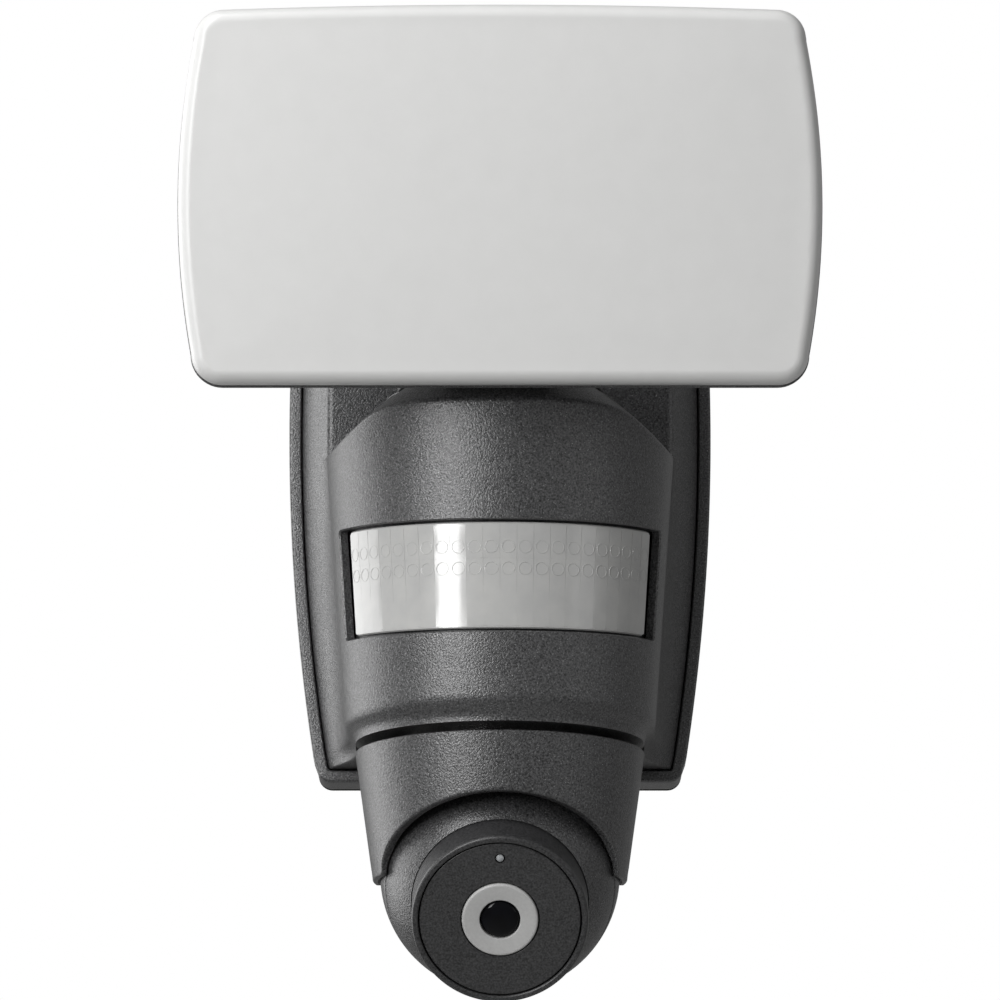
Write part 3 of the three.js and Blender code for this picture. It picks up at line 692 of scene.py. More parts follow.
def dressed(
    piece: bpy.types.Object, finish: Finish, body: str, nodes: Sequence[str] = (), crisp: float = 32.0
) -> bpy.types.Object:
    """Finishes a piece: shading, material, the body it rides on and the nodes it stands for.

    Args:
        piece: The piece, in place.
        finish: Its surface.
        body: The CAD body that it moves with.
        nodes: The CAD nodes that it replaces.
        crisp: Edges sharper than this many degrees stay crisp.

    Returns:
        The piece.
    """
    shade(piece.data, crisp)
    piece.data.materials.clear()
    piece.data.materials.append(finish.material())
    for face in piece.data.polygons:
        face.material_index = 0
    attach(piece, body)
    if nodes:
        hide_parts(*nodes)
    log.info("%s on %s: %d faces", piece.name, body, len(piece.data.polygons))
    return piece


def bar(
    axis: str, radius: float, span: Flat, middle: Flat, place: Matrix | None = None, sides: int = 48
) -> bpy.types.Mesh:
    """A round tool between two places along an axis.

    Args:
        axis: "x", "y" or "z".
        radius: Its radius.
        span: Where it begins and ends along the axis.
        middle: Its place on the other two axes, in their order.
        place: The sub-assembly's frame.
        sides: Facets round it.

    Returns:
        The closed mesh.
    """
    circle = arc((0, 0), (radius, radius), 0, 360, sides)[:-1]
    order = {"x": (2, 0, 1), "y": (0, 2, 1), "z": (0, 1, 2)}[axis]
    rows = []
    for along, size in ((span[0], 0.0), (span[0], 1.0), (span[1], 1.0), (span[1], 0.0)):
        row = []
        for a, b in circle:
            local = (middle[0] + a * size, middle[1] + b * size, along)
            row.append(tuple(local[i] for i in order))
        rows.append(row)
    return Skin().grid(rows, close_columns=True).mesh("bar", place)


def brick(low: Point, high: Point, place: Matrix | None = None) -> bpy.types.Mesh:
    """A box-shaped tool between two corners."""
    rows = []
    middle = [(a + b) / 2 for a, b in zip(low, high)]
    for z, size in ((low[2], 0.0), (low[2], 1.0), (high[2], 1.0), (high[2], 0.0)):
        corners = ((low[0], low[1]), (high[0], low[1]), (high[0], high[1]), (low[0], high[1]))
        rows.append([(lerp(middle[0], x, size), lerp(middle[1], y, size), z) for x, y in corners])
    return Skin().grid(rows, close_columns=True).mesh("brick", place)


def rounded(corners: Sequence[tuple[float, float, float]], steps: int = 6) -> list[Flat]:
    """A profile whose corners are rounded.

    Args:
        corners: Two coordinates and a rounding length for each corner, in order round a closed profile.
        steps: Points along each rounding.

    Returns:
        The closed profile's points, without repeating the first.
    """
    points: list[Flat] = []
    count = len(corners)
    for i, (a, b, reach) in enumerate(corners):
        here = Vector((a, b))
        if reach <= 0:
            points.append((a, b))
            continue
        ends = []
        for neighbour in (corners[i - 1], corners[(i + 1) % count]):
            towards = Vector(neighbour[:2]) - here
            ends.append(here + towards.normalized() * min(reach, towards.length / 2))
        points.extend(curve(ends[0], here, ends[1], t) for t in shares(steps))
    return points


# ---------------------------------------------------------------- geometry node trees


def geometry_tree(
    name: str, inputs: dict[str, str]
) -> tuple[bpy.types.NodeTree, bpy.types.Node, bpy.types.Node]:
    """Starts a geometry node tree.

    Args:
        name: Name of the tree.
        inputs: Input names to their socket types.

    Returns:
        The tree, its input node and its output node.
    """
    tree = bpy.data.node_groups.new(name, "GeometryNodeTree")
    tree.interface.new_socket("Geometry", in_out="INPUT", socket_type="NodeSocketGeometry")
    for key, kind in inputs.items():
        tree.interface.new_socket(key, in_out="INPUT", socket_type=kind)
    tree.interface.new_socket("Geometry", in_out="OUTPUT", socket_type="NodeSocketGeometry")
    return tree, node(tree, "NodeGroupInput"), node(tree, "NodeGroupOutput")


def finish_tree(
    tree: bpy.types.NodeTree, given: bpy.types.Node, result: bpy.types.Node, geometry: bpy.types.NodeSocket
) -> bpy.types.NodeTree:
    """Ends a tree: its geometry made real, in the material that was asked for.

    Args:
        tree: The tree.
        given: Its input node, which has a Material.
        result: Its output node.
        geometry: What the tree has made.

    Returns:
        The tree.
    """
    real = node(tree, "GeometryNodeRealizeInstances", {"Geometry": geometry})
    coated = node(
        tree,
        "GeometryNodeSetMaterial",
        {"Geometry": real.outputs["Geometry"], "Material": given.outputs["Material"]},
    )
    tree.links.new(coated.outputs["Geometry"], result.inputs["Geometry"])
    return tree


def grown(
    mesh: bpy.types.Mesh, name: str, tree: bpy.types.NodeTree, values: dict[str, object]
) -> bpy.types.Object:
    """Runs a geometry node tree on a mesh and keeps the plain result.

    Args:
        mesh: What the tree starts from.
        name: Name of the finished object.
        tree: The tree.
        values: Input names to values.

    Returns:
        The object with a plain mesh.
    """
    piece = as_object(mesh, name)
    made = piece.modifiers.new(tree.name, "NODES")
    made.node_group = tree
    keys = {item.name: item.identifier for item in tree.interface.items_tree if item.in_out == "INPUT"}
    for key, value in values.items():
        made[keys[key]] = value
    return settle(piece)


def turning_tree() -> bpy.types.NodeTree:
    """The tree that turns a profile, given as points (radius, 0, height), about its Z axis.

    Returns:
        The tree, with the number of facets and the material as inputs.
    """
    tree, given, result = geometry_tree(
        "turned_profile", {"Facets": "NodeSocketInt", "Material": "NodeSocketMaterial"}
    )

    def whole(operation: str, a: object, b: object) -> bpy.types.NodeSocket:
        """The result of one sum on two numbers."""
        return node(tree, "ShaderNodeMath", {0: a, 1: b}, operation=operation).outputs[0]

    profile = given.outputs["Geometry"]
    size = node(tree, "GeometryNodeAttributeDomainSize", {"Geometry": profile}).outputs["Point Count"]
    facets = given.outputs["Facets"]
    net = node(
        tree,
        "GeometryNodeMeshGrid",
        {"Vertices X": whole("ADD", facets, 1.0), "Vertices Y": size},
    ).outputs["Mesh"]
    index = node(tree, "GeometryNodeInputIndex").outputs["Index"]
    place = node(tree, "GeometryNodeInputPosition").outputs["Position"]
    sampled = node(
        tree,
        "GeometryNodeSampleIndex",
        {"Geometry": profile, "Value": place, "Index": whole("MODULO", index, size)},
        data_type="FLOAT_VECTOR",
    ).outputs["Value"]
    column = node(tree, "ShaderNodeMath", {0: whole("DIVIDE", index, size)}, operation="FLOOR").outputs[0]
    angle = whole("MULTIPLY", whole("DIVIDE", column, facets), math.tau)
    spun = node(
        tree, "ShaderNodeVectorRotate", {"Vector": sampled, "Angle": angle}, rotation_type="Z_AXIS"
    ).outputs["Vector"]
    moved = node(tree, "GeometryNodeSetPosition", {"Geometry": net, "Position": spun}).outputs["Geometry"]
    welded = node(tree, "GeometryNodeMergeByDistance", {"Geometry": moved, "Distance": 0.002 * MM})
    return finish_tree(tree, given, result, welded.outputs["Geometry"])


def repeating_tree() -> bpy.types.NodeTree:
    """The tree that sets a pattern piece on every point, turned and stretched by the point's attributes.

    Returns:
        The tree, with the pattern's geometry and the material as inputs.
    """
    tree, given, result = geometry_tree(
        "repeated_piece", {"Pattern": "NodeSocketObject", "Material": "NodeSocketMaterial"}
    )
    pattern = node(tree, "GeometryNodeObjectInfo", {"Object": given.outputs["Pattern"]})
    wanted = {
        key: node(tree, "GeometryNodeInputNamedAttribute", {"Name": key}, data_type="FLOAT_VECTOR")
        for key in ("turn", "stretch")
    }
    placed = node(
        tree,
        "GeometryNodeInstanceOnPoints",
        {
            "Points": given.outputs["Geometry"],
            "Instance": pattern.outputs["Geometry"],
            "Rotation": wanted["turn"].outputs["Attribute"],
            "Scale": wanted["stretch"].outputs["Attribute"],
        },
    )
    return finish_tree(tree, given, result, placed.outputs["Instances"])


TURNING = turning_tree()
REPEATING = repeating_tree()


def turned(
    name: str, profile: Sequence[Flat], finish: Finish, place: Matrix, facets: int = 128
) -> bpy.types.Object:
    """A piece turned about its own Z axis.

    Args:
        name: Name of the piece.
        profile: Radius and height of each point, closed by itself or on the axis.
        finish: Its surface.
        place: Where its own frame stands, in millimetres.
        facets: Facets round it.

    Returns:
        The object with a plain, welded mesh.
    """
    line = bpy.data.meshes.new(name)
    points = [(radius * MM, 0.0, height * MM) for radius, height in profile]
    line.from_pydata(points, [(i, i + 1) for i in range(len(points) - 1)], [])
    values = {"Facets": facets, "Material": finish.material()}
    piece = grown(line, name, TURNING, values)
    piece.data.transform(Matrix.Scale(1 / MM, 4))
    tidy(piece.data, place)
    return piece


@dataclass
class Copies:
    """Where the copies of one pattern piece stand, in a sub-assembly's own frame."""

    places: list[Point] = field(default_factory=list)
    turns: list[Point] = field(default_factory=list)
    stretches: list[Point] = field(default_factory=list)

    def put(self, place: Point, turn: Point = (0, 0, 0), stretch: Point = (1, 1, 1)) -> "Copies":
        """Adds one copy: its place in millimetres, its turn in radians and its stretch."""
        self.places.append(place)
        self.turns.append(turn)
        self.stretches.append(stretch)
        return self

    def grow(self, name: str, pattern: bpy.types.Mesh, finish: Finish, place: Matrix) -> bpy.types.Object:
        """Makes every copy as one object.

        Args:
            name: Name of the object.
            pattern: The closed mesh that is repeated, in metres, at its own origin.
            finish: Its surface.
            place: Where the sub-assembly's own frame stands, in millimetres.

        Returns:
            The object with a plain mesh.
        """
        points = bpy.data.meshes.new(name)
        points.from_pydata([tuple(v * MM for v in p) for p in self.places], [], [])
        for key, values in (("turn", self.turns), ("stretch", self.stretches)):
            stored = points.attributes.new(key, "FLOAT_VECTOR", "POINT")
            stored.data.foreach_set("vector", [v for value in values for v in value])
        stand_in = as_object(pattern, f"{name}_pattern")
        piece = grown(points, name, REPEATING, {"Pattern": stand_in, "Material": finish.material()})
        bpy.data.objects.remove(stand_in)
        piece.data.transform(Matrix.Scale(1 / MM, 4))
        tidy(piece.data, place)
        return piece


# ---------------------------------------------------------------- wall plate


@dataclass
class WallPlate:
    """The shallow tray against the wall. Its sides bow outwards and its rim shows round the cover."""

    box: Span = field(default_factory=lambda: Span.of("wall_plate"))
    widest_z: float = 16.0
    side_radius: float = 536.0
    floor: float = 3.0
    rim: float = 3.0
    corner: float = 3.5
    edge: float = 0.7
    wall_screws: tuple[Flat, ...] = ((34.0, 33.5), (29.0, -57.0))
    wall_screw_hole: float = 2.4
    cable_z: float = 24.0
    cable_radius: float = 9.0
    cover_screw_x: float = 27.0
    cover_screw_y: float = -10.6
    cover_screw_head: float = 3.0
    cover_screw_hole: float = 1.6

    def half(self, z: float) -> float:
        """Half the plate's width at a height."""
        return self.box.high[0] - (z - self.widest_z) ** 2 / (2 * self.side_radius)

    def outline(self, inset: float) -> list[Flat]:
        """The outline drawn in by an inset.

        Args:
            inset: How far inside the plate's edge.

        Returns:
            A closed loop of x and z, with the same number of points at every inset.
        """
        corner = max(self.corner - inset, 0.8)
        low = self.box.low[2] + inset
        high = self.box.high[2] - inset
        bottom = self.half(low) - inset - corner
        top = self.half(high) - inset - corner
        right = [(bottom * t, low) for t in shares(14)[:-1]]
        right += arc((bottom, low + corner), (corner, corner), -90, 0, 8)
        for t in shares(40)[1:-1]:
            z = lerp(low + corner, high - corner, t)
            right.append((self.half(z) - inset, z))
        right += arc((top, high - corner), (corner, corner), 0, 90, 8)
        right += [(top * (1 - t), high) for t in shares(14)[1:]]
        return right + [(-x, z) for x, z in right[-2:0:-1]]

    def build(self) -> None:
        """Makes the plate, its holes and the grommet and screws that sit in it."""
        front = self.box.low[1]
        edge = self.edge
        centre, midway, drawn_in = 60.0, 20.0, 0.6
        steps = [(centre, 0.0), (midway, 0.0), (edge, 0.0)]
        steps += [(edge - a, -edge + b) for a, b in arc((0, 0), (edge, edge), 90, 0, 4)][::-1]
        steps += [(0.0, lerp(-edge, front + edge, t)) for t in shares(6)[1:]]
        steps += [(edge - a, front + edge - b) for a, b in arc((0, 0), (edge, edge), 0, 90, 4)]
        inner = self.rim
        steps += [(inner - 0.3, front), (inner, front + 0.3), (inner, -self.floor - 0.6)]
        steps += [(inner + 0.6, -self.floor), (midway, -self.floor), (centre, -self.floor)]
        middle = (self.box.low[2] + self.box.high[2]) / 2
        rim = self.outline(self.rim)
        rows = []
        for inset, y in steps:
            if inset == centre:
                rows.append([(0.0, y, middle)] * len(rim))
            elif inset == midway:
                rows.append([(x * drawn_in, y, middle + (z - middle) * drawn_in) for x, z in rim])
            else:
                rows.append([(x, y, z) for x, z in self.outline(inset)])
        plate = as_object(Skin().grid(rows, close_columns=True).mesh("wall_plate_shell"), "wall_plate_shell")
        cuts = [bar("y", self.cable_radius, (-9, 1), (0, self.cable_z))]
        for x, z in self.wall_screws:
            cuts += [bar("y", self.wall_screw_hole, (-9, 1), (side * x, z)) for side in (-1, 1)]
        low = self.box.low[2]
        for side in (-1, 1):
            where = (side * self.cover_screw_x, self.cover_screw_y)
            cuts.append(bar("z", self.cover_screw_head, (low - 1, low + 1.8), where))
            cuts.append(bar("z", self.cover_screw_hole, (low + 1, low + 5), where))
        carve(plate, Carve.CUT, cuts)
        dressed(plate, PAINT, "base", ["wall_plate"])
        self.grommet()
        self.screws()

    def grommet(self) -> None:
        """Makes the rubber grommet of the mains inlet."""
        gap = 0.3
        bore = 3.4
        hole = self.cable_radius - gap
        flange = self.cable_radius + 3
        base = self.floor + gap
        profile = rounded([
            (bore, gap, 0.5), (hole, gap, 0.5), (hole, base, 0.3), (flange, base, 0.5),
            (flange, base + 1.5, 0.6), (7.0, base + 2.7, 1.2), (4.8, base + 7.7, 0.6),
            (bore, base + 7.7, 0.5),
        ])
        place = Matrix.Translation((0, 0, self.cable_z)) @ Matrix.Rotation(math.radians(90), 4, "X")
        piece = turned("cable_grommet_boot", profile + profile[:1], RUBBER, place)
        dressed(piece, RUBBER, "base", ["cable_grommet"])

    def screws(self) -> None:
        """Makes the two screws that hold the cover, seen from below."""
        low = self.box.low[2]
        copies = Copies()
        for side in (-1, 1):
            copies.put((side * self.cover_screw_x, self.cover_screw_y, low + 0.2), (math.pi, 0, 0.4 * side))
        pattern = screw_pattern(head=2.6, height=1.3, shank=1.15, length=12.1)
        piece = copies.grow("cover_screws", pattern, STEEL, Matrix.Identity(4))
        dressed(piece, STEEL, "base", ["cover_screw_1", "cover_screw_2"])


def screw_pattern(head: float, height: float, shank: float, length: float) -> bpy.types.Mesh:
    """A pan-head screw with a cross recess: the head's top at its origin, the shank downwards.

    Args:
        head: Radius of the head.
        height: Height of the head.
        shank: Radius of the shank.
        length: Length over all.

    Returns:
        The closed mesh in metres.
    """
    profile = [(0.0, 0.0)]
    profile += [(head * math.sin(a), -height * 0.75 * (1 - math.cos(a))) for a in (0.35, 0.7, 1.0, 1.25)]
    profile += [(head, -height * 0.75), (head, -height + 0.15), (head - 0.15, -height), (shank, -height)]
    profile += [(shank, 0.6 - length), (shank * 0.3, -length), (0.0, -length)]
    body = turned("screw_pattern", profile, STEEL, Matrix.Identity(4), facets=32)
    arm = head * 0.55
    slots = [brick((-arm, -0.28, -0.75), (arm, 0.28, 0.5)), brick((-0.28, -arm, -0.75), (0.28, arm, 0.5))]
    carve(body, Carve.CUT, slots)
    return bare(body)


# ---------------------------------------------------------------- front cover

# Columns of the cover's skin: over the round front, and up to the knee where the slope begins.
FRONT_COLUMNS = 52
KNEE_COLUMN = FRONT_COLUMNS + 8

# Height of the pattern cell of the sensor's lens, and the section of the fine ring moulded on it.
CELL_SIZE = 8.0
RING_SECTION = ((1.35, -0.15), (1.42, 0.1), (1.5, 0.12), (1.58, 0.1), (1.65, -0.15), (1.35, -0.15))


@dataclass
class FrontCover:
    """The painted cover: a chamfered box above, a round tapering body and a neck below."""

    plate: WallPlate
    box: Span = field(default_factory=lambda: Span.of("front_cover"))
    axis_y: float = field(default_factory=lambda: pivot("camera_pan").y)
    turret: Vector = field(default_factory=lambda: pivot("lamp_pan"))
    wall: float = 2.2
    ledge_y: float = -14.0
    ledge_soft: float = 1.0
    flat_y: float = -28.0
    flat_half: float = 42.6
    chamfer: float = 6.0
    top_radius: float = 42.8
    top_z: float = 6.9
    taper: float = 0.0715
    crease: Flat = (-66.0, -69.8)
    neck_radius: float = 34.9
    under_z: float = -71.0
    crown_top: float = 30.3
    crown_across: float = 0.01394
    crown_slope: float = 0.245
    crown_nose: Flat = (-26.4, 0.0365)
    knee_reach: Flat = (10.0, 3.5)
    rim_round: float = 0.8
    lens_tilt: float = 5.5
    lens_place: Flat = (-66.0, -34.7)
    lens_half: Flat = (64.8, 12.7)
    window_half: Flat = (72.4, 13.3)
    frame_over: Flat = (4.0, 3.4)
    frame_open: Flat = (4.0, 1.6)
    turret_recess: float = 25.6
    turret_hole: float = 11.4
    hood_hole: float = 22.4
    button: Flat = (-31.0, -20.0)
    button_hole: float = 2.2
    screw_pilot: float = 1.45
    cell_degrees: float = 5.85
    tier_share: float = 0.34
    ring_rises: Flat = (2.8, -2.4)
    band_steps: tuple[int, int] = (90, 20)

    def radius(self, z: float) -> float:
        """Radius of the round body at a height, with the soft crease above the neck."""
        high, low = self.crease
        cone = self.top_radius - (self.top_z - max(z, high)) * self.taper
        return lerp(cone, self.neck_radius, smooth((high - z) / (high - low)))

    def crown(self, x: float, y: float) -> float:
        """Height of the crowned shoulder, highest at the flat face."""
        fall = self.crown_across * x * x + self.crown_slope * (self.flat_y - y)
        start, bend = self.crown_nose
        return self.crown_top - fall - bend * max(0.0, self.axis_y + start - y) ** 2

    def ledge(self, z: float) -> float:
        """Half the cover's width at the ledge, at a height."""
        return self.plate.half(z) - self.plate.rim - 0.3

    def lower(self, z: float, inset: float) -> list[Flat]:
        """The right half of a level section, from the front's middle round to the back edge.

        Args:
            z: Height of the section.
            inset: How far inside the outer skin.

        Returns:
            Points of x and y.
        """
        radius = self.radius(z) - inset
        side = self.ledge(z) - inset
        points = [(radius * math.sin(a), self.axis_y - radius * math.cos(a))
                  for a in (math.radians(90 * t) for t in shares(FRONT_COLUMNS))]
        blend = lerp(*self.knee_reach, smooth((z + 30) / 35))
        knee = Vector((radius, self.flat_y))
        slope = (Vector((side, self.ledge_y)) - knee).normalized()
        start = knee - Vector((0, blend))
        leave = knee + slope * blend
        points += [(radius, lerp(self.axis_y, start.y, t)) for t in shares(8)[1:]]
        points += [curve(start, knee, leave, t) for t in shares(8)[1:]]
        return points + self.back_run(leave, slope, side)

    def back_run(self, leave: Vector, slope: Vector, side: float) -> list[Flat]:
        """A level section's points down the slope and back along the side.

        Args:
            leave: Where the knee's rounding ends.
            slope: Direction of the slope.
            side: Half the section's width at the ledge.

        Returns:
            The points, up to the back edge.
        """
        shoulder = Vector((side, self.ledge_y))
        after = self.ledge_y + self.ledge_soft
        far = shoulder - slope * self.ledge_soft
        points = [tuple(leave.lerp(far, t)) for t in shares(8)[1:]]
        points += [curve(far, shoulder, (side, after), t) for t in shares(5)[1:]]
        return points + [(side, lerp(after, self.box.high[1], t)) for t in shares(3)[1:]]

    def upper(self, z: float, inset: float) -> list[Flat]:
        """The right half of a level section of the box above the shoulder, point for point as lower()."""
        side = self.ledge(z) - inset
        flat = self.flat_y + inset
        half = self.flat_half - inset
        turn = 1.3
        reach = (half - turn) * 0.86
        knee = Vector((half, flat))
        slope = (Vector((side, self.ledge_y)) - knee).normalized()
        leave = knee + slope * turn
        points = [(reach * math.sin(math.radians(90 * t)), flat) for t in shares(FRONT_COLUMNS)]
        points += [(lerp(reach, half - turn, t), flat) for t in shares(8)[1:]]
        points += [curve((half - turn, flat), knee, leave, t) for t in shares(8)[1:]]
        return points + self.back_run(leave, slope, side)

    def rows(self, inset: float) -> list[Row]:
        """The cover's skin as rows from the bottom of the back edge, over the front, to the top's.

        Args:
            inset: How far inside the outer skin.

        Returns:
            Rows of equally many points.
        """
        low = self.under_z + inset
        high = self.plate.box.high[2] - self.plate.rim - 0.3 - inset
        back = self.box.high[1]
        soft = 0.9 if inset == 0 else 0.3
        columns: list[Row] = []
        for i, (x0, y0) in enumerate(self.lower(low, inset)):
            column: Row = [(x0, back, low), (x0, lerp(y0, back, 0.5), low)]
            bevel = 0.0 if i <= FRONT_COLUMNS else soft * smooth((i - FRONT_COLUMNS) / 6)
            pull = Vector((0.0, self.axis_y + 20)) - Vector((x0, y0))
            pull = pull.normalized() if pull.length else Vector((0, 1))
            for t in shares(4):
                out, up = curve((bevel, 0.0), (0.0, 0.0), (0.0, bevel), t)
                column.append((x0 + pull.x * out, y0 + pull.y * out, low + up))
            rim = self.rim_height(i, inset)
            drop = self.rim_round if inset == 0 else 0.4
            start = low + max(bevel, 0.02)
            for t in shares(60)[1:]:
                z = lerp(start, rim - drop, t)
                column.append((*self.lower(z, inset)[i], z))
            column += self.over_rim(i, inset, rim, drop)
            column += self.above(i, inset, column[-1][2], high)
            columns.append(column)
        return [[(-x, y, z) for x, y, z in row[:0:-1]] + list(row) for row in zip(*columns)]

    def rim_height(self, i: int, inset: float) -> float:
        """Height at which a column of the wall meets the crowned shoulder."""
        z = 0.0
        for _ in range(12):
            x, y = self.lower(z, inset)[i]
            y = min(y, self.flat_y)
            x = min(x, self.radius(z) - inset)
            z = self.crown(x, y) - inset
        return z

    def over_rim(self, i: int, inset: float, rim: float, drop: float) -> Row:
        """One column's points over the rounded rim and back across the crown.

        Args:
            i: The column.
            inset: How far inside the outer skin.
            rim: Height of the sharp rim.
            drop: Reach of its rounding.

        Returns:
            The points, up to the flat face.
        """
        edge = self.lower(rim, inset)[i]
        start = self.lower(rim - drop, inset)[i]
        goal = self.upper(rim, inset)[i]
        points: Row = []
        run = math.dist(edge, goal)
        if i > KNEE_COLUMN:
            for t in shares(34)[1:]:
                z = lerp(rim - drop, rim + drop, t)
                low = self.lower(z, inset)[i]
                high = self.upper(z, inset)[i]
                s = smooth(t)
                points.append((lerp(low[0], high[0], s), lerp(low[1], high[1], s), z))
            return points
        reach = min(drop, run * 0.45) / run
        inner = (lerp(edge[0], goal[0], reach), lerp(edge[1], goal[1], reach))
        ends = ((*start, rim - drop), (*edge, rim), (*inner, self.crown(*inner) - inset))
        points += [curve(*ends, t) for t in shares(6)[1:]]
        for t in shares(28)[1:]:
            x, y = lerp(inner[0], goal[0], t), lerp(inner[1], goal[1], t)
            points.append((x, y, self.crown(x, y) - inset))
        return points

    def above(self, i: int, inset: float, start: float, high: float) -> Row:
        """One column's points up the box, over its chamfer and back along its top.

        Args:
            i: The column.
            inset: How far inside the outer skin.
            start: Height that the column has reached.
            high: Height of the top.

        Returns:
            The points, up to the back edge.
        """
        section = self.upper(high, inset)
        y = section[i][1]
        flat = self.flat_y + inset
        fall = self.chamfer * min(1.0, max(0.0, (self.ledge_y - y) / (self.ledge_y - flat)))
        turn = 1.0 if inset == 0 else 0.3
        points: Row = []
        for t in shares(16)[1:]:
            z = lerp(start, high - fall - turn, t)
            points.append((*self.upper(z, inset)[i], z))
        edge = (*self.upper(high - fall, inset)[i], high - fall)
        side = self.ledge(high) - inset
        width = side * min(1.0, edge[0] / (self.flat_half - inset)) if edge[1] <= flat + 0.01 else side
        width = lerp(edge[0], width, 0.85) if i < len(section) - 1 else side
        ridge = (min(width, side - turn), self.ledge_y, high)
        away = Vector(ridge) - Vector(edge)
        run = away.length
        if run > 2.2 * turn:
            inner = Vector(edge) + away * (turn / run)
            near = Vector(ridge) - away * (turn / run)
        else:
            inner = Vector(edge).lerp(Vector(ridge), 0.4)
            near = Vector(edge).lerp(Vector(ridge), 0.6)
        points += [curve(points[-1], edge, inner, t) for t in shares(5)[1:]]
        points += [tuple(inner.lerp(near, t)) for t in shares(4)[1:]]
        after = (ridge[0], self.ledge_y + turn, high)
        points += [curve(near, ridge, after, t) for t in shares(4)[1:]]
        points.append((ridge[0], self.box.high[1], high))
        return points

    def on_body(self, degrees: float, rise: float, offset: float) -> Point:
        """A place on the round body, in the tilted band of the sensor.

        Args:
            degrees: Angle from the front, to the right.
            rise: Height above the band's middle line.
            offset: How far outside the body's skin.

        Returns:
            The place.
        """
        angle = math.radians(degrees)
        z = self.lens_place[1]
        for _ in range(4):
            reach = self.radius(z) + offset
            y = self.axis_y - reach * math.cos(angle)
            z = self.lens_place[1] + rise + (y - self.lens_place[0]) * math.tan(math.radians(self.lens_tilt))
        return (reach * math.sin(angle), y, z)

    def band(self, half: Flat, corner: float, offset: float) -> list[Row]:
        """A patch of the body's skin with rounded corners, in the sensor's tilted band.

        Args:
            half: Half its angle in degrees and half its height.
            corner: Radius of its corners.
            offset: How far outside the body's skin.

        Returns:
            Rows of points, from the bottom up, as many at any size.
        """
        per_degree = math.pi * self.radius(self.lens_place[1]) / 180
        wide = half[0] * per_degree
        straight = half[1] - corner
        heights = [straight + corner * math.sin(math.radians(90 * t)) for t in shares(6)]
        level = [lerp(-straight, straight, t) for t in shares(self.band_steps[1])]
        heights = [-h for h in heights[:0:-1]] + level + heights[1:]
        rows = []
        for rise in heights:
            over = max(0.0, abs(rise) - straight)
            reach = wide - corner + math.sqrt(max(0.0, corner * corner - over * over))
            turns = [lerp(-reach, reach, t) / per_degree for t in shares(self.band_steps[0])]
            rows.append([self.on_body(turn, rise, offset) for turn in turns])
        return rows

    def build(self) -> None:
        """Makes the cover with its window, holes and neck, then the sensor and the reset button."""
        skin = Skin().walled(self.rows(0.0), self.rows(self.wall))
        shell = as_object(skin.mesh("front_cover_shell"), "front_cover_shell")
        carve(shell, Carve.ADD, [self.neck(), self.deck()])
        seat = self.turret
        cuts = [
            bar("z", self.turret_recess, (seat.z, 45), (0, seat.y), sides=128),
            bar("z", self.turret_hole, (0, 30), (0, seat.y)),
            bar("z", self.hood_hole, (-80, -60), (0, self.axis_y), sides=96),
            bar("z", self.button_hole, (-80, -60), self.button),
            self.window(),
        ]
        for side in (-1, 1):
            where = (side * self.plate.cover_screw_x, self.plate.cover_screw_y)
            cuts.append(bar("z", self.screw_pilot, (-80, -61.5), where))
        carve(shell, Carve.CUT, cuts)
        dressed(shell, PAINT, "base", ["front_cover"])
        self.sensor()
        self.reset()

    def neck(self) -> bpy.types.Mesh:
        """The collar under the body, over which the hood turns."""
        low = self.box.low[2]
        high = self.under_z + 1.2
        inner = 21.0
        outer = self.neck_radius - 0.04
        profile = rounded([(inner, low, 0.3), (outer, low, 0.8), (outer, high, 0.2), (inner, high, 0.2)])
        place = Matrix.Translation((0, self.axis_y, 0))
        return bare(turned("neck", profile + profile[:1], PAINT, place, facets=160))

    def deck(self) -> bpy.types.Mesh:
        """The floor under the lamp's turret, kept under the crown."""
        seat = self.turret
        wide = 28.0
        low = seat.z - 2.4
        steps = [(0.0, False), (wide, False)] + [(reach, True) for reach in (wide, 21.0, 14.0, 0.0)]
        rows = []
        for reach, top in steps:
            row = []
            for x, y in arc((0, seat.y), (reach, reach), 0, 360, 96)[:-1]:
                high = max(self.crown(x, y) - 1.0, low + 0.2)
                row.append((x, y, high if top else low))
            rows.append(row)
        return Skin().grid(rows, close_columns=True).mesh("deck")

    def grown_half(self, half: Flat, grow: float) -> Flat:
        """Half an angle and half a height, grown by a length on every side."""
        per_degree = math.pi * self.radius(self.lens_place[1]) / 180
        return (half[0] + grow / per_degree, half[1] + grow)

    def window(self) -> bpy.types.Mesh:
        """The tool that cuts the sensor's window, with a small chamfer on the outside."""
        nets = [
            self.band(self.grown_half(self.window_half, grow), 1.2 + grow, offset)
            for grow, offset in ((1.0, 4.0), (0.32, 0.0), (0.0, -0.4), (0.0, -7.0))
        ]
        return Skin().walled(nets[0], nets[-1], nets[1:-1]).mesh("window")

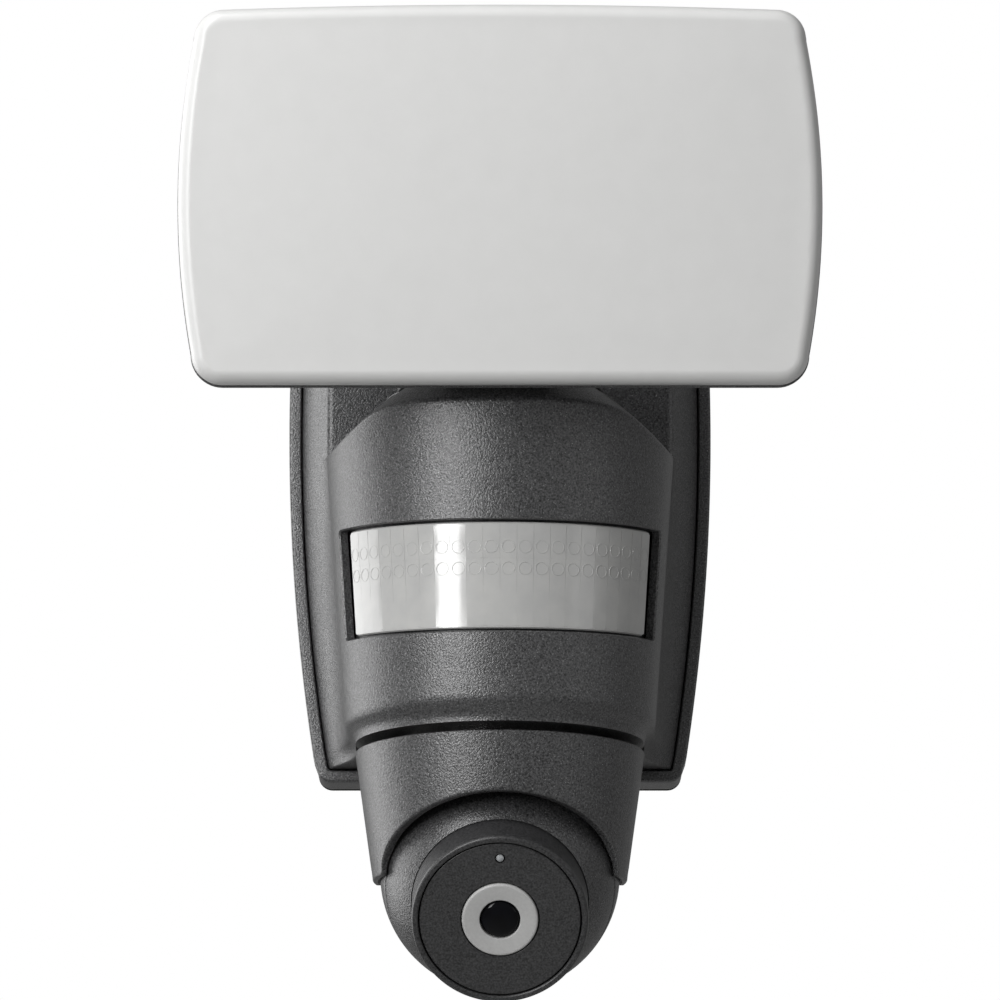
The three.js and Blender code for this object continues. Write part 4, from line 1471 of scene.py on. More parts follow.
    def sensor(self) -> None:
        """Makes the motion sensor's lens with its cells, and the dark frame behind it."""
        skin, wall, soft = 0.8, 1.6, 0.3
        outer = self.band(self.grown_half(self.lens_half, -soft), 1.0, -skin)
        edge = self.band(self.lens_half, 1.0 + soft, -skin - soft)
        inner = self.band(self.lens_half, 1.0 + soft, -skin - wall)
        lens = as_object(Skin().walled(outer, inner, [edge]).mesh("sensor_lens"), "sensor_lens")
        dressed(lens, SENSOR, "base", ["pir_lens"])
        self.cells(-skin)
        behind = skin + wall + 0.5
        over = (self.window_half[0] + self.frame_over[0], self.lens_half[1] + self.frame_over[1])
        hole = (self.lens_half[0] - self.frame_open[0], self.lens_half[1] - self.frame_open[1])
        plate = [self.band(over, 1.2, -depth) for depth in (behind, behind + wall)]
        opening = [self.band(hole, 1.2, -depth) for depth in (behind - 2, behind + 4)]
        surround = as_object(Skin().walled(*plate).mesh("sensor_surround"), "sensor_surround")
        carve(surround, Carve.CUT, [Skin().walled(*opening).mesh("opening")])
        dressed(surround, DARK, "base", ["pir_lens_frame"])

    def cells(self, offset: float) -> None:
        """Sets the lens's moulded cells in two tiers on its skin, with a fine ring on each.

        Args:
            offset: Where the lens's skin lies, outside the body's.
        """
        here = Matrix.Identity(4)
        edge = self.lens_half[1] - 0.6
        split = self.lens_half[1] * (1 - 2 * self.tier_share)
        count = round(2 * self.lens_half[0] / self.cell_degrees)
        lean = math.radians(90) + math.atan(self.taper)
        cells, rings = Copies(), Copies()
        for low, high, rise in ((-edge, split, self.ring_rises[1]), (split, edge, self.ring_rises[0])):
            for k in range(count):
                degrees = (k - (count - 1) / 2) * self.cell_degrees
                turn = (lean, 0.0, math.radians(degrees))
                place = self.on_body(degrees, (low + high) / 2, offset - 0.04)
                cells.put(place, turn, (1.0, (high - low) / CELL_SIZE, 1.0))
                rings.put(self.on_body(degrees, split + rise, offset), turn)
        wide = math.radians(self.cell_degrees) * (self.radius(self.lens_place[1]) + offset)
        ring = bare(turned("ring_pattern", RING_SECTION, SENSOR, here, facets=32))
        patterns = (("cells", cells, cell_pattern(wide - 0.05)), ("rings", rings, ring))
        for name, copies, pattern in patterns:
            piece = copies.grow(f"sensor_lens_{name}", pattern, SENSOR, here)
            dressed(piece, SENSOR, "base", crisp=60)

    def reset(self) -> None:
        """Makes the reset button on the underside."""
        box = Span.of("reset_button")
        low, high = box.low[2], box.high[2]
        flange = high - 0.5
        stem, wide = 1.9, 2.9
        profile = rounded([(stem, low, 0.45), (stem, flange - 1.0, 0.1), (wide, flange - 1.0, 0.2),
                           (wide, flange, 0.2), (stem, flange, 0.1), (stem, high, 0.3)], 5)
        ends = [(0.0, low + 0.25), (0.8, low + 0.15), (1.3, low)]
        place = Matrix.Translation((self.button[0], self.button[1], 0))
        piece = turned("reset_cap", ends + profile + [(0.0, high)], BLACK, place, 48)
        dressed(piece, BLACK, "reset_button", ["reset_button"])


def cell_pattern(wide: float) -> bpy.types.Mesh:
    """One shallow cell of the sensor's lens, slightly domed, facing +Z.

    Args:
        wide: Its width.

    Returns:
        The closed mesh in metres.
    """
    top = []
    for v in shares(6):
        row = []
        for u in shares(5):
            dome = math.sin(math.pi * u) ** 0.6 * math.sin(math.pi * v) ** 0.35
            row.append((wide * (u - 0.5), (CELL_SIZE - 0.06) * (v - 0.5), 0.05 + 0.05 * dome))
        top.append(row)
    under = [[(x, y, -0.3) for x, y, _ in row] for row in top]
    return Skin().walled(top, under).mesh("cell")


# ---------------------------------------------------------------- lamp

# Length of the pattern fin, before it is stretched to its place.
FIN_LENGTH = 60.0


@dataclass
class Turret:
    """The swivel on the shoulder, with the knuckle that carries the lamp."""

    place: Vector = field(default_factory=lambda: pivot("lamp_pan"))
    hinge: Vector = field(default_factory=lambda: pivot("lamp_tilt"))
    radius: float = 25.0
    height: float = 3.4
    spigot: float = 11.0
    spigot_foot: float = -8.0
    groove: Flat = (16.0, 18.6)
    groove_depth: float = 1.7
    bore: float = 7.5
    knuckle_half: float = 9.0
    knuckle_radius: float = 6.6
    bolt: float = 2.4

    def build(self) -> None:
        """Makes the turret with its groove, knuckle and bolt hole."""
        low = 0.3
        high = low + self.height
        foot = self.spigot_foot
        inner, outer = self.groove
        deep = low + self.groove_depth
        profile = rounded([
            (self.bore, foot, 0.4), (self.spigot, foot, 0.6), (self.spigot, low, 0.3),
            (inner, low, 0), (inner, deep, 0), (outer, deep, 0), (outer, low, 0),
            (self.radius, low, 0.4), (self.radius, high, 1.5), (self.bore, high, 0.4),
        ])
        body = turned("lamp_swivel", profile + profile[:1], PAINT, Matrix.Translation(self.place), 144)
        carve(body, Carve.ADD, [self.knuckle(high)])
        bolt = bar("x", self.bolt + 0.3, (-20, 20), (self.hinge.y, self.hinge.z))
        way = bar("z", self.bore - 1.5, (self.place.z - 9, self.place.z + high + 1), (0, self.place.y))
        carve(body, Carve.CUT, [bolt, way])
        dressed(body, PAINT, "lamp_turret", ["lamp_turret"])

    def knuckle(self, high: float) -> bpy.types.Mesh:
        """The block that the bolt passes through, with softened sides.

        Args:
            high: Top of the turret's disc, above its seat.

        Returns:
            The closed mesh.
        """
        foot = self.place.z + high - 1
        crest = arc((self.hinge.y, self.hinge.z), (self.knuckle_radius,) * 2, 205, 20, 24)
        outline = [(self.hinge.y - 7, foot), *crest, (self.hinge.y + 20, foot)]
        return slab(outline, -self.knuckle_half, self.knuckle_half, 0.7)


def slab(
    outline: Sequence[Flat], start: float, end: float, soft: float, place: Matrix | None = None
) -> bpy.types.Mesh:
    """A slab across the object with its outline's two edges rounded.

    Args:
        outline: A closed convex loop of y and z.
        start: Where it begins along X.
        end: Where it ends.
        soft: Radius of the rounded edges.
        place: The sub-assembly's frame.

    Returns:
        The closed mesh.
    """
    middle = (sum(p[0] for p in outline) / len(outline), sum(p[1] for p in outline) / len(outline))
    reach = max(math.dist(p, middle) for p in outline)
    forward = [(start + soft * (1 - math.cos(a)), 1 - soft * (1 - math.sin(a)) / reach)
               for a in (math.radians(15 * k) for k in range(7))]
    steps = [(start, 0.0), *forward]
    steps += [(start + end - x, scale) for x, scale in reversed(steps)]
    rows = [
        [(x, lerp(middle[0], y, scale), lerp(middle[1], z, scale)) for y, z in outline] for x, scale in steps
    ]
    return Skin().grid(rows, close_columns=True).mesh("slab", place)


@dataclass
class LampHead:
    """The tilting head: an opal box in front, a ribbed housing behind."""

    hinge: Vector = field(default_factory=lambda: pivot("lamp_tilt"))
    tilt: float = 11.0
    face_y: float = -43.6
    half_width: float = 75.8
    bottom: float = -14.6
    height: float = 89.4
    side_radius: float = 200.0
    widest: float = 0.475
    corner: float = 7.0
    crown: float = 1.2
    diffuser_depth: float = 11.0
    wall: float = 2.2
    back: float = 24.0
    lip: float = 0.5
    edge: Flat = (3.6, 4.4)
    bulge: float = 0.5
    fins: int = 9
    fin_pitch: float = 11.0
    fin_thick: float = 1.8
    fin_depth: float = 5.0
    screw: Flat = (50.0, 22.0)
    lug: Flat = (10.4, 5.0)
    lug_radius: float = 7.0
    bolt: float = 2.4

    @property
    def place(self) -> Matrix:
        """The head's own frame: origin on the hinge, y back, z up."""
        return tilted(self.hinge, self.tilt)

    @property
    def middle(self) -> float:
        """Height of the head's middle."""
        return self.bottom + self.height / 2

    def half(self, z: float) -> float:
        """Half the head's width at a height."""
        widest = self.bottom + self.height * self.widest
        return self.half_width - (z - widest) ** 2 / (2 * self.side_radius)

    def ring(self, inset: float, depth: float, share: float = 1.0) -> Row:
        """The head's outline at a depth.

        Args:
            inset: How far inside the head's edge.
            depth: How far behind the face.
            share: Drawn in towards the middle by this share.

        Returns:
            A closed loop of points.
        """
        corner = max(self.corner - inset, 3.0)
        low = self.bottom + inset
        high = self.bottom + self.height - self.crown - inset
        foot = self.half(low + corner) - inset - corner
        head = self.half(high - corner) - inset - corner
        right = [(foot * t, low) for t in shares(20)[:-1]]
        right += arc((foot, low + corner), (corner, corner), -90, 0, 12)
        for t in shares(30)[1:-1]:
            z = lerp(low + corner, high - corner, t)
            right.append((self.half(z) - inset, z))
        right += arc((head, high - corner), (corner, corner), 0, 90, 12)
        right += [(head * (1 - t), high + self.crown * (1 - (1 - t) ** 2)) for t in shares(20)[1:]]
        loop = right + [(-x, z) for x, z in right[-2:0:-1]]
        return [
            (x * share, self.face_y + depth, self.middle + (z - self.middle) * share) for x, z in loop
        ]

    def build(self) -> None:
        """Makes the diffuser, the housing with its fins and lugs, the screws and the hinge's bolt."""
        self.diffuser()
        self.housing()
        self.screws()
        self.hinge_bolt()

    def diffuser(self) -> None:
        """Makes the opal front, softly rounded and very slightly crowned."""
        inset, deep = self.edge
        rows = [self.ring(inset, self.bulge * t**2.5, t) for t in shares(18)]
        for a in (math.radians(90 * t) for t in shares(12)[1:]):
            sag = lerp(self.bulge, 0, math.sin(a))
            rows.append(self.ring(inset * (1 - math.sin(a)), deep * (1 - math.cos(a)) + sag))
        end, wall, inside = self.diffuser_depth, self.wall, 2.7
        rows += [self.ring(0.0, lerp(deep, end - 0.4, t)) for t in shares(4)[1:]]
        lip = [(0.12, end - 0.12), (0.4, end), (wall - 0.3, end), (wall, end - 0.3)]
        lip += [(wall, 5.0), (wall + 0.9, 3.1), (wall + 2.6, inside)]
        rows += [self.ring(*place) for place in lip]
        rows += [self.ring(inset, inside, t) for t in (0.9, 0.6, 0.3, 0.0)]
        piece = as_object(Skin().grid(rows, close_columns=True).mesh("opal_front", self.place), "opal_front")
        dressed(piece, OPAL, "lamp_head", ["lamp_diffuser"], crisp=50)

    def housing(self) -> None:
        """Makes the painted housing and joins its fins and hinge lugs to it."""
        front = self.diffuser_depth + 0.3
        flat = 11.0
        outside = [(-self.lip + 0.35, front), (-self.lip, front + 0.35), (-self.lip, 14.0), (0.1, 15.6)]
        outside += [(1.2, 17.0), (2.9, 19.0), (5.0, 20.9), (7.6, 22.6), (flat, self.back)]
        inner = self.wall - self.lip
        inside = [(inner, front), (inner, 14.0), (4.5, 18.0), (flat, self.back - self.wall)]
        rows = [self.ring(flat, self.back, t) for t in (0.0, 0.35, 0.7)]
        rows += [self.ring(*place) for place in (*reversed(outside), *inside)]
        rows += [self.ring(flat, self.back - self.wall, t) for t in (0.7, 0.35, 0.0)]
        piece = as_object(Skin().grid(rows, close_columns=True).mesh("lamp_shell", self.place), "lamp_shell")
        carve(piece, Carve.ADD, [self.fin_row(), *self.lugs()])
        back = self.face_y + self.back
        cuts = [bar("x", self.bolt + 0.3, (-20, 20), (0, 0), self.place)]
        for x, z in self.screw_places():
            cuts.append(bar("y", 3.2, (back - 1.4, back + 2), (x, z), self.place))
            cuts.append(bar("y", 1.6, (back - 4, back + 1), (x, z), self.place))
        carve(piece, Carve.CUT, cuts)
        dressed(piece, PAINT, "lamp_head", ["lamp_housing"])

    def screw_places(self) -> list[Flat]:
        """Where the head's four screws are."""
        return [(sx * self.screw[0], self.middle + sz * self.screw[1]) for sx in (-1, 1) for sz in (-1, 1)]

    def fin_row(self) -> bpy.types.Mesh:
        """The cooling fins, shorter in the middle where the hinge is."""
        back = self.face_y + self.back
        top = self.bottom + self.height - 16
        copies = Copies()
        for k in range(self.fins):
            x = (k - (self.fins - 1) / 2) * self.fin_pitch
            low = self.middle - 4 if abs(x) < 20 else self.bottom + 16
            copies.put((x, back, (low + top) / 2), stretch=(1, 1, (top - low) / FIN_LENGTH))
        pattern = fin_pattern(self.fin_thick, self.fin_depth)
        return bare(copies.grow("cooling_fins", pattern, PAINT, self.place))

    def lugs(self) -> list[bpy.types.Mesh]:
        """The two ears that the hinge's bolt passes through."""
        back = self.face_y + self.back
        outline = [(back - 0.5, -2.0), *arc((0, 0), (self.lug_radius,) * 2, -115, 60, 28), (back - 0.5, 20.0)]
        inner, wide = self.lug
        return [slab(outline, x, x + wide, 0.7, self.place) for x in (inner, -inner - wide)]

    def screws(self) -> None:
        """Makes the four screws in the back of the housing."""
        back = self.face_y + self.back
        copies = Copies()
        for n, (x, z) in enumerate(self.screw_places()):
            copies.put((x, back - 0.1, z), (math.radians(-90), 0.5 * n, 0))
        pattern = screw_pattern(head=2.8, height=1.05, shank=1.2, length=5.8)
        piece = copies.grow("lamp_screws", pattern, STEEL, self.place)
        dressed(piece, STEEL, "lamp_head", [f"lamp_screw_{n}" for n in range(1, 5)])

    def hinge_bolt(self) -> None:
        """Makes the bolt with its domed head and socket, and the nut at its other end."""
        end = sum(self.lug) + 0.3
        turn = self.place @ Matrix.Rotation(math.radians(90), 4, "Y")
        head = 4.4
        profile = [(0.0, -end - 2.0), (head - 1.2, -end - 2.0)]
        profile += arc((head - 0.9, -end - 1.1), (0.9, 0.9), -90, 0, 6) + [(head, -end), (self.bolt, -end)]
        profile += [(self.bolt, end + 2.6), (self.bolt - 0.4, end + 3.0), (0.0, end + 3.0)]
        bolt = turned("tilt_bolt", profile, STEEL, turn, 64)
        carve(bolt, Carve.CUT, [bar("x", 2.0, (-end - 3, -end - 0.9), (0, 0), self.place, sides=6)])
        dressed(bolt, STEEL, "lamp_head", ["hinge_bolt"])
        nut = as_object(bar("x", 4.6, (end, end + 3), (0, 0), self.place, sides=6), "tilt_nut")
        soft = nut.modifiers.new("soft", "BEVEL")
        soft.width, soft.segments, soft.limit_method = 0.35 * MM, 3, "ANGLE"
        settle(nut)
        carve(nut, Carve.CUT, [bar("x", self.bolt + 0.3, (end - 1, end + 4), (0, 0), self.place)])
        dressed(nut, STEEL, "lamp_head", ["hinge_nut"])


def fin_pattern(thick: float, depth: float) -> bpy.types.Mesh:
    """One upright cooling fin with a rounded crest and sloping ends, rooted at y = -0.5.

    Args:
        thick: Its thickness at the root.
        depth: How far it stands out.

    Returns:
        The closed mesh in metres.
    """
    half = thick / 2
    root = -0.5
    section = [(half, root), (half * 0.8, depth - half)]
    section += arc((0, depth - half), (half * 0.8, half), 0, 180, 8) + [(-half, root)]
    tall = FIN_LENGTH / 2
    rows = [[(0.0, root + 0.1, -tall)] * len(section)]
    for z, share in ((-tall, 0.5), (-tall + 1.5, 0.85), (-tall + 4, 1.0)):
        rows.append([(x, lerp(root, y, share), z) for x, y in section])
    rows += [[(x, y, -z) for x, y, z in row] for row in reversed(rows)]
    return Skin().grid(rows, close_columns=True).mesh("fin")


# ---------------------------------------------------------------- camera


@dataclass
class CameraHood:
    """The swivelling hood under the neck: a short cone with an arch front and back, and two legs."""

    box: Span = field(default_factory=lambda: Span.of("camera_hood"))
    axis: Vector = field(default_factory=lambda: pivot("camera_pan"))
    ball: Vector = field(default_factory=lambda: pivot("camera_tilt"))
    top_radius: float = 34.9
    tip_radius: float = 30.5
    wall: float = 2.0
    spigot: float = 22.0
    roof: float = 2.4
    ball_room: float = 29.4
    front_arch: Flat = (28.2, -87.4)
    back_arch: Flat = (29.9, -93.0)
    arch_foot: float = 1.6
    leg_round: float = 1.1
    pin: float = 1.3

    def radius(self, z: float) -> float:
        """Radius of the hood's skin at a height."""
        share = (self.axis.z - z) / (self.axis.z - self.box.low[2])
        return lerp(self.top_radius, self.tip_radius, share)

    def hem(self) -> list[Flat]:
        """The hood's lower edge as angle from the front and height, once round.

        Returns:
            The points, starting at the front's middle and going right.
        """
        tip = self.box.low[2]
        foot = tip + self.arch_foot
        low = tip + self.leg_round
        points: list[Flat] = []
        for (wide, top), mirror in ((self.front_arch, False), (self.back_arch, True)):
            half = []
            for t in shares(44):
                angle = math.radians(90 * t)
                z = foot + (top - foot) * math.cos(angle)
                half.append((math.degrees(math.asin(wide * math.sin(angle) / self.radius(z))), z))
            lean = math.degrees(math.asin(wide / self.radius(low)))
            for t in shares(6):
                angle = math.radians(90 * t)
                half.append((lean + 2.5 * (1 - math.cos(angle)), lerp(low, tip, math.sin(angle))))
            half += [(lerp(lean + 2.5, 90, t), tip) for t in shares(6)[1:]]
            points += [(180 - a, z) for a, z in reversed(half[:-1])] if mirror else half
        return points + [(360 - a, z) for a, z in points[-2:0:-1]]

    def build(self) -> None:
        """Makes the hood as one closed wall from its hem over the outside, the spigot and the inside."""
        hem = self.hem()
        count = len(hem)
        heads = [360 * k / count for k in range(count)]
        high = self.axis.z
        soft = 0.5

        def skin(share: float, offset: float, lift: float = 0.0) -> Row:
            """One level of the wall, between the hem and the top."""
            row = []
            for k, (turn, z) in enumerate(hem):
                angle = lerp(turn, heads[k], share)
                level = lerp(z + lift, high - soft, share)
                reach = self.radius(level) + offset
                if offset < -self.wall * 0.6:
                    inside = self.ball_room**2 - (level - self.ball.z) ** 2
                    reach = min(max(reach, math.sqrt(max(0.0, inside))), self.radius(level) - 0.7)
                row.append(self.round(angle, reach, level))
            return row

        def level(reach: float, z: float) -> Row:
            """One full ring of the spigot and the roof."""
            return [self.round(angle, reach, z) for angle in heads]

        rows = [skin(0.0, -0.9, 0.0)]
        rows += [skin(0.0, -soft * (1 - math.sin(a)), soft * (1 - math.cos(a)))
                 for a in (math.radians(90 * t) for t in shares(5))]
        rows += [skin(t, 0.0, soft) for t in shares(26)[1:]]
        rows += [level(self.top_radius - soft * (1 - math.cos(a)), high - soft * (1 - math.sin(a)))
                 for a in (math.radians(90 * t) for t in shares(4)[1:])]
        rows += [level(self.spigot + 0.2, high), level(self.spigot, high + 0.2)]
        rows += [level(self.spigot, self.box.high[2] - 0.5), level(self.spigot - 0.5, self.box.high[2])]
        under = high - self.roof
        rows += [level(6.3, self.box.high[2]), level(6.0, self.box.high[2] - 0.3), level(6.0, under)]
        rows += [level(self.radius(under) - self.wall - 1.5, under)]
        rows += [skin(t, -self.wall) for t in shares(10)[-2::-1]]
        mesh = Skin().grid(rows, close_rows=True, close_columns=True).mesh("camera_canopy")
        piece = as_object(mesh, "camera_canopy")
        carve(piece, Carve.CUT, [bar("x", self.pin, (-40, 40), (self.ball.y, self.ball.z))])
        dressed(piece, PAINT, "camera_hood", ["camera_hood"], crisp=40)
        self.pins()

    def round(self, degrees: float, reach: float, z: float) -> Point:
        """A place round the hood's axis, the angle measured from the front."""
        angle = math.radians(degrees)
        return (reach * math.sin(angle), self.axis.y - reach * math.cos(angle), z)

    def pins(self) -> None:
        """Makes the two headed pins that carry the ball."""
        for n, side in enumerate((-1, 1), 1):
            box = Span.of(f"pivot_pin_{n}")
            ends = sorted((box.low[0] * side, box.high[0] * side))
            inner, outer = ends
            head, soft, shank = 2.6, 0.3, 1.0
            profile = [(0.0, inner), (head - soft, inner), (head, inner + soft), (head, inner + 1.0)]
            profile += [(head - soft, inner + 1.3), (shank, inner + 1.3), (shank, outer - 0.35)]
            profile += [(0.9, outer - 0.1), (0.5, outer), (0.0, outer)]
            turn = Matrix.Translation(self.ball) @ Matrix.Rotation(math.radians(90 * side), 4, "Y")
            piece = turned(f"pivot_pin_{n}_turned", profile, STEEL, turn, 40)
            dressed(piece, STEEL, "camera_hood", [f"pivot_pin_{n}"])


@dataclass
class CameraBall:
    """The tilting ball with its bezel, flat face, grey collar and glass."""

    place: Vector = field(default_factory=lambda: pivot("camera_tilt"))
    tilt: float = 29.0
    radius: float = 28.8
    wall: float = 2.0
    split: float = -9.0
    bezel: float = 20.9
    bezel_front: float = -31.0
    face: float = 19.0
    ring: float = 9.0
    glass: float = 4.5
    indicator_rise: float = 15.3
    gap: float = 0.3
    pin: float = 1.3
    screw_x: float = 14.0
    screw_head: float = 3.0
    screw_hole: float = 1.6

    @property
    def own(self) -> Matrix:
        """The ball's own frame: the view axis is -Y."""
        return tilted(self.place, self.tilt)

    @property
    def axis(self) -> Matrix:
        """The frame of its turned pieces: Z looks out of the lens."""
        return self.own @ Matrix.Rotation(math.radians(90), 4, "X")

    def zone(self, radius: float, start: float, end: float, steps: int) -> list[Flat]:
        """Points on a sphere's profile between two heights along the view axis."""
        first, last = math.acos(start / radius), math.acos(end / radius)
        angles = [lerp(first, last, t) for t in shares(steps)]
        return [(radius * math.sin(a), radius * math.cos(a)) for a in angles]

    def build(self) -> None:
        """Makes the ball's two halves, the camera's front and the two screws."""
        self.halves()
        self.front()
        self.screws()

    def halves(self) -> None:
        """Makes the two painted shells, with a fine groove where they meet."""
        inner = self.radius - self.wall
        seam = -self.split
        low = seam - self.gap / 2
        profile = self.zone(self.radius, -self.radius, low - 0.35, 44)
        outer = math.sqrt(self.radius**2 - low**2)
        profile += [(outer - 0.1, low - 0.12), (outer - 0.4, low)]
        profile += [(math.sqrt(inner**2 - low**2), low)] + self.zone(inner, low, -inner, 30)[1:]
        rear = turned("ball_back_shell", profile, PAINT, self.axis, 144)
        turn = self.own
        posts = [bar("y", 4.4, (12, 22), (x, 0), turn) for x in (-self.screw_x, self.screw_x)]
        carve(rear, Carve.ADD, posts)
        cuts = []
        for x in (-self.screw_x, self.screw_x):
            cuts.append(bar("y", self.screw_head, (18, 40), (x, 0), turn))
            cuts.append(bar("y", self.screw_hole, (0, 19), (x, 0), turn))
        cuts.append(bar("x", self.pin, (-40, 40), (0, 0), turn))
        carve(rear, Carve.CUT, cuts)
        dressed(rear, PAINT, "camera_ball", ["ball_rear"])
        mouth = self.bezel + self.gap
        high = seam + self.gap / 2
        outer = math.sqrt(self.radius**2 - high**2)
        end = math.sqrt(self.radius**2 - mouth**2)
        profile = [(outer - 0.4, high), (outer - 0.1, high + 0.12)]
        profile += self.zone(self.radius, high + 0.35, end + 0.1, 18) + [(mouth, end - 0.2)]
        profile += self.zone(inner, math.sqrt(inner**2 - mouth**2), high, 10) + [(outer - 0.4, high)]
        front = turned("ball_front_shell", profile, PAINT, self.axis, 144)
        dressed(front, PAINT, "camera_ball", ["ball_front"])

    def front(self) -> None:
        """Makes the bezel, the face with its light point, the grey collar and the domed glass."""
        top = -self.bezel_front
        inner = self.face + self.gap
        root = 14.0
        profile = rounded([
            (inner, root, 0.2), (self.bezel, root, 0.3), (self.bezel, top, 1.5), (self.face + 0.6, top, 0.4),
            (inner, top - 0.3, 0.15),
        ])
        bezel = turned("front_bezel", profile + profile[:1], DARK, self.axis, 160)
        dressed(bezel, DARK, "camera_ball", ["camera_bezel"])
        face = top - 0.5
        profile = rounded([
            (self.ring + self.gap, face - 2, 0.1), (self.face, face - 2, 0.2), (self.face, face, 0.35),
            (self.ring + self.gap, face, 0.3),
        ])
        plate = turned("front_face", profile + profile[:1], DARK, self.axis, 160)
        hole = bar("y", 1.2, (-40, -20), (0, self.indicator_rise), self.own)
        carve(plate, Carve.CUT, [hole])
        dressed(plate, DARK, "camera_ball", ["camera_face"])
        mouth = self.glass + self.gap
        profile = rounded([
            (mouth, face - 2.4, 0.1), (self.ring, face - 2.4, 0.2), (self.ring, face + 0.6, 0.7),
            (mouth, face + 0.2, 0.3),
        ], 8)
        collar = turned("lens_collar", profile + profile[:1], RING, self.axis, 128)
        dressed(collar, RING, "camera_ball", ["lens_ring"])
        dome = [(self.glass * math.sin(a), face - 0.6 + 1.5 * math.cos(a))
                for a in (math.radians(90 * t) for t in shares(20))]
        profile = dome + [(self.glass, face - 3.0), (self.glass - 0.2, face - 3.2), (0.0, face - 3.2)]
        glass = turned("lens_dome", profile, GLASS, self.axis, 96)
        dressed(glass, GLASS, "camera_ball", ["lens_glass"])
        spot = self.own @ Matrix.Translation((0, 0, self.indicator_rise))
        profile = [(0.0, face + 0.12), (0.5, face + 0.08), (0.85, face - 0.1), (0.9, face - 0.3),
                   (0.9, 22.3), (0.7, 22.0), (0.0, 22.0)]
        turn = spot @ Matrix.Rotation(math.radians(90), 4, "X")
        point = turned("light_point", profile, INDICATOR, turn, 40)
        dressed(point, INDICATOR, "camera_ball", ["indicator_window"])

    def screws(self) -> None:
        """Makes the two screws sunk in the back of the ball."""
        copies = Copies()
        for side in (-1, 1):
            copies.put((side * self.screw_x, 20.0, 0.0), (math.radians(-90), 0.3 * side, 0))
        pattern = screw_pattern(head=2.7, height=1.6, shank=1.3, length=18.0)
        piece = copies.grow("ball_screws", pattern, STEEL, self.own)
        dressed(piece, STEEL, "camera_ball", ["ball_screw_1", "ball_screw_2"])


# ---------------------------------------------------------------- carried-over pieces


@dataclass(frozen=True)
class Internals:
    """The pieces inside and the seals, whose CAD shapes stay and only get their finish."""

    finishes: tuple[tuple[Finish, tuple[str, ...]], ...] = (
        (RUBBER, ("body_seal", "turret_seal", "lamp_seal", "ball_seal")),
        (STEEL, ("turret_retainer", "hinge_washer_1", "hinge_washer_2", "wifi_module", "pir_sensor")),
        (ALUMINIUM, ("led_board", "heat_spreader")),
        (BOARD, ("driver_board", "main_board", "pir_board", "camera_board")),
        (COMPONENT, ("transformer", "capacitor", "button_switch", "image_sensor")),
        (BLACK, ("lens_barrel",)),
        (DARK, ("hood_retainer",)),
        (CREAM, ("terminal_block",)),
    )

    def build(self) -> None:
        """Gives each carried-over node its material."""
        for finish, nodes in self.finishes:
            for name in nodes:
                piece = frame["nodes"][name]
                piece.data.materials.clear()
                piece.data.materials.append(finish.material())
                log.info("%s finished as %s", name, finish.name)


# ---------------------------------------------------------------- studio


@dataclass(frozen=True)
class Softbox:
    """A soft panel light that looks at the object."""

    name: str
    bearing: float
    elevation: float
    distance: float
    size: Flat
    power: float

    def build(self, target: Vector) -> None:
        """Adds the light.

        Args:
            target: Where it looks, in metres. Its bearing is measured from the front, to the right.
        """
        data = bpy.data.lights.new(self.name, "AREA")
        data.shape, data.energy = "RECTANGLE", self.power
        data.size, data.size_y = self.size
        made = bpy.data.objects.new(self.name, data)
        bpy.context.scene.collection.objects.link(made)
        turn, rise = math.radians(self.bearing), math.radians(self.elevation)
        away = Vector((math.sin(turn) * math.cos(rise), -math.cos(turn) * math.cos(rise), math.sin(rise)))
        made.location = target + away * self.distance
        made.rotation_euler = away.to_track_quat("Z", "Y").to_euler()


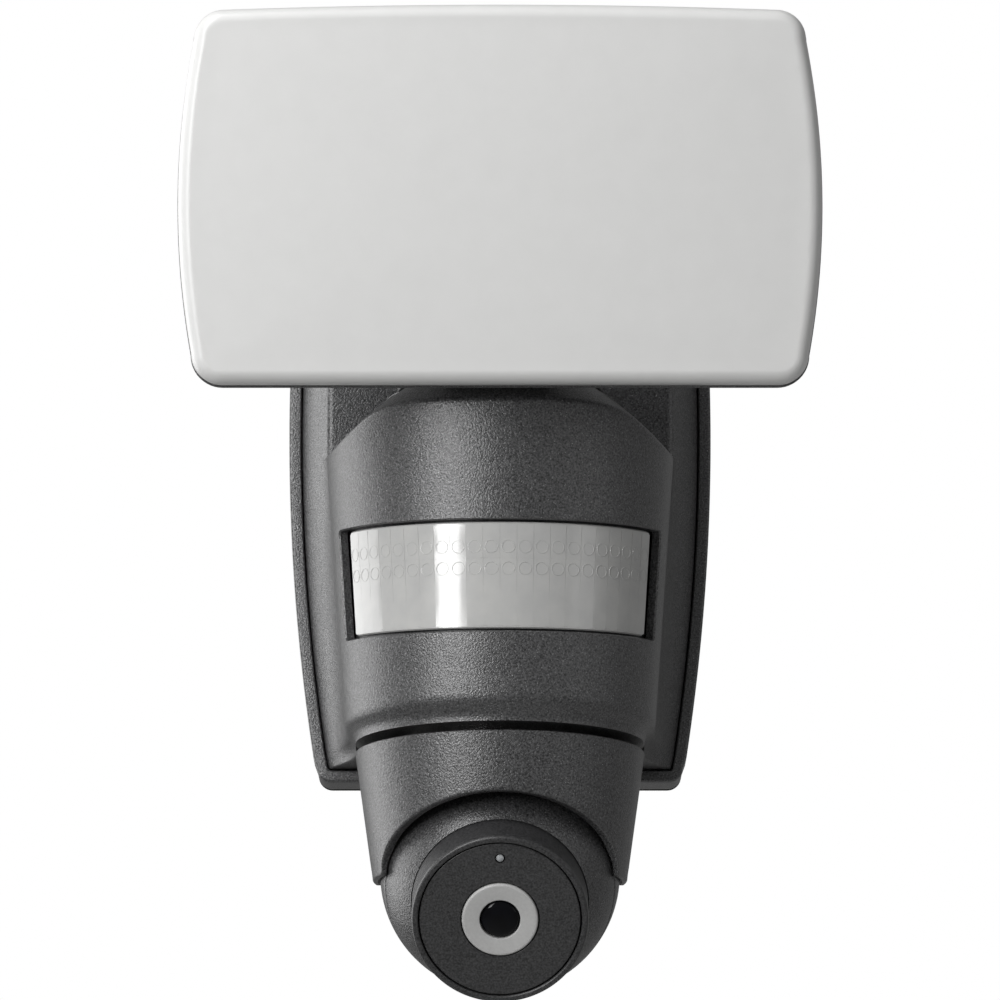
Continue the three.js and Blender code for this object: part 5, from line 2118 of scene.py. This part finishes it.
@dataclass(frozen=True)
class Studio:
    """The pale floor, the soft lights and the camera, which looks up at the object from in front."""

    target: Point = (0.0, -0.060, -0.01275)
    elevation: float = -12.0
    distance: float = 1.4
    focal_mm: float = 208.5
    floor_z: float = -1.3
    room_light: float = 0.22
    lights: tuple[Softbox, ...] = (
        Softbox("key", -34, 36, 0.9, (0.26, 1.05), 7.0),
        Softbox("strip", -36, 0, 0.9, (0.24, 0.22), 2.2),
        Softbox("left_rim", -117, 5, 0.9, (0.7, 0.8), 4.4),
        Softbox("right_fill", 62, 5, 1.2, (0.4, 0.6), 0.5),
    )

    def build(self) -> None:
        """Sets up the whole studio."""
        target = Vector(self.target)
        for light in self.lights:
            light.build(target)
        self.floor()
        self.world()
        data = bpy.data.cameras.new("camera")
        data.sensor_width, data.lens = 36.0, self.focal_mm
        data.clip_start, data.clip_end = 0.05, 30.0
        camera = bpy.data.objects.new("camera", data)
        bpy.context.scene.collection.objects.link(camera)
        rise = math.radians(self.elevation)
        away = Vector((0, -math.cos(rise), math.sin(rise)))
        camera.location = target + away * self.distance
        camera.rotation_euler = away.to_track_quat("Z", "Y").to_euler()
        bpy.context.scene.camera = camera
        bpy.context.scene.view_settings.view_transform = "Standard"

    def floor(self) -> None:
        """Lays the plain pale floor, well under the object."""
        half = 6.0
        mesh = bpy.data.meshes.new("floor")
        corners = [(-half, -half), (half, -half), (half, half), (-half, half)]
        mesh.from_pydata([(x, y, self.floor_z) for x, y in corners], [], [(0, 1, 2, 3)])
        piece = as_object(mesh, "floor")
        made = bpy.data.materials.new("pale_matt_floor")
        made.use_nodes = True
        surface = made.node_tree.nodes["Principled BSDF"].inputs
        surface["Base Color"].default_value = linear("#EDEDEC")
        surface["Roughness"].default_value = 0.9
        piece.data.materials.append(made)

    def world(self) -> None:
        """Surrounds the object with an even pale room: white to look at, dimmer as light."""
        world = bpy.data.worlds.new("room")
        world.use_nodes = True
        bpy.context.scene.world = world
        tree = world.node_tree
        tree.nodes.clear()
        seen, light = [
            node(tree, "ShaderNodeBackground", {"Color": (1, 1, 1, 1), "Strength": strength}).outputs[0]
            for strength in (1.0, self.room_light)
        ]
        ray = node(tree, "ShaderNodeLightPath").outputs["Is Camera Ray"]
        mixed = node(tree, "ShaderNodeMixShader", {0: ray, 1: light, 2: seen}).outputs[0]
        node(tree, "ShaderNodeOutputWorld", {"Surface": mixed})


def main() -> None:
    """Sets up the studio and builds the sub-assemblies in order."""
    logging.basicConfig(level=logging.INFO, format="%(name)s: %(message)s")
    plate = WallPlate()
    parts: tuple[object, ...] = (
        Studio(), plate, FrontCover(plate), Turret(), LampHead(), CameraHood(), CameraBall(), Internals(),
    )
    for part in parts:
        part.build()
        log.info("%s is done", type(part).__name__)


if __name__ == "__main__":
    main()
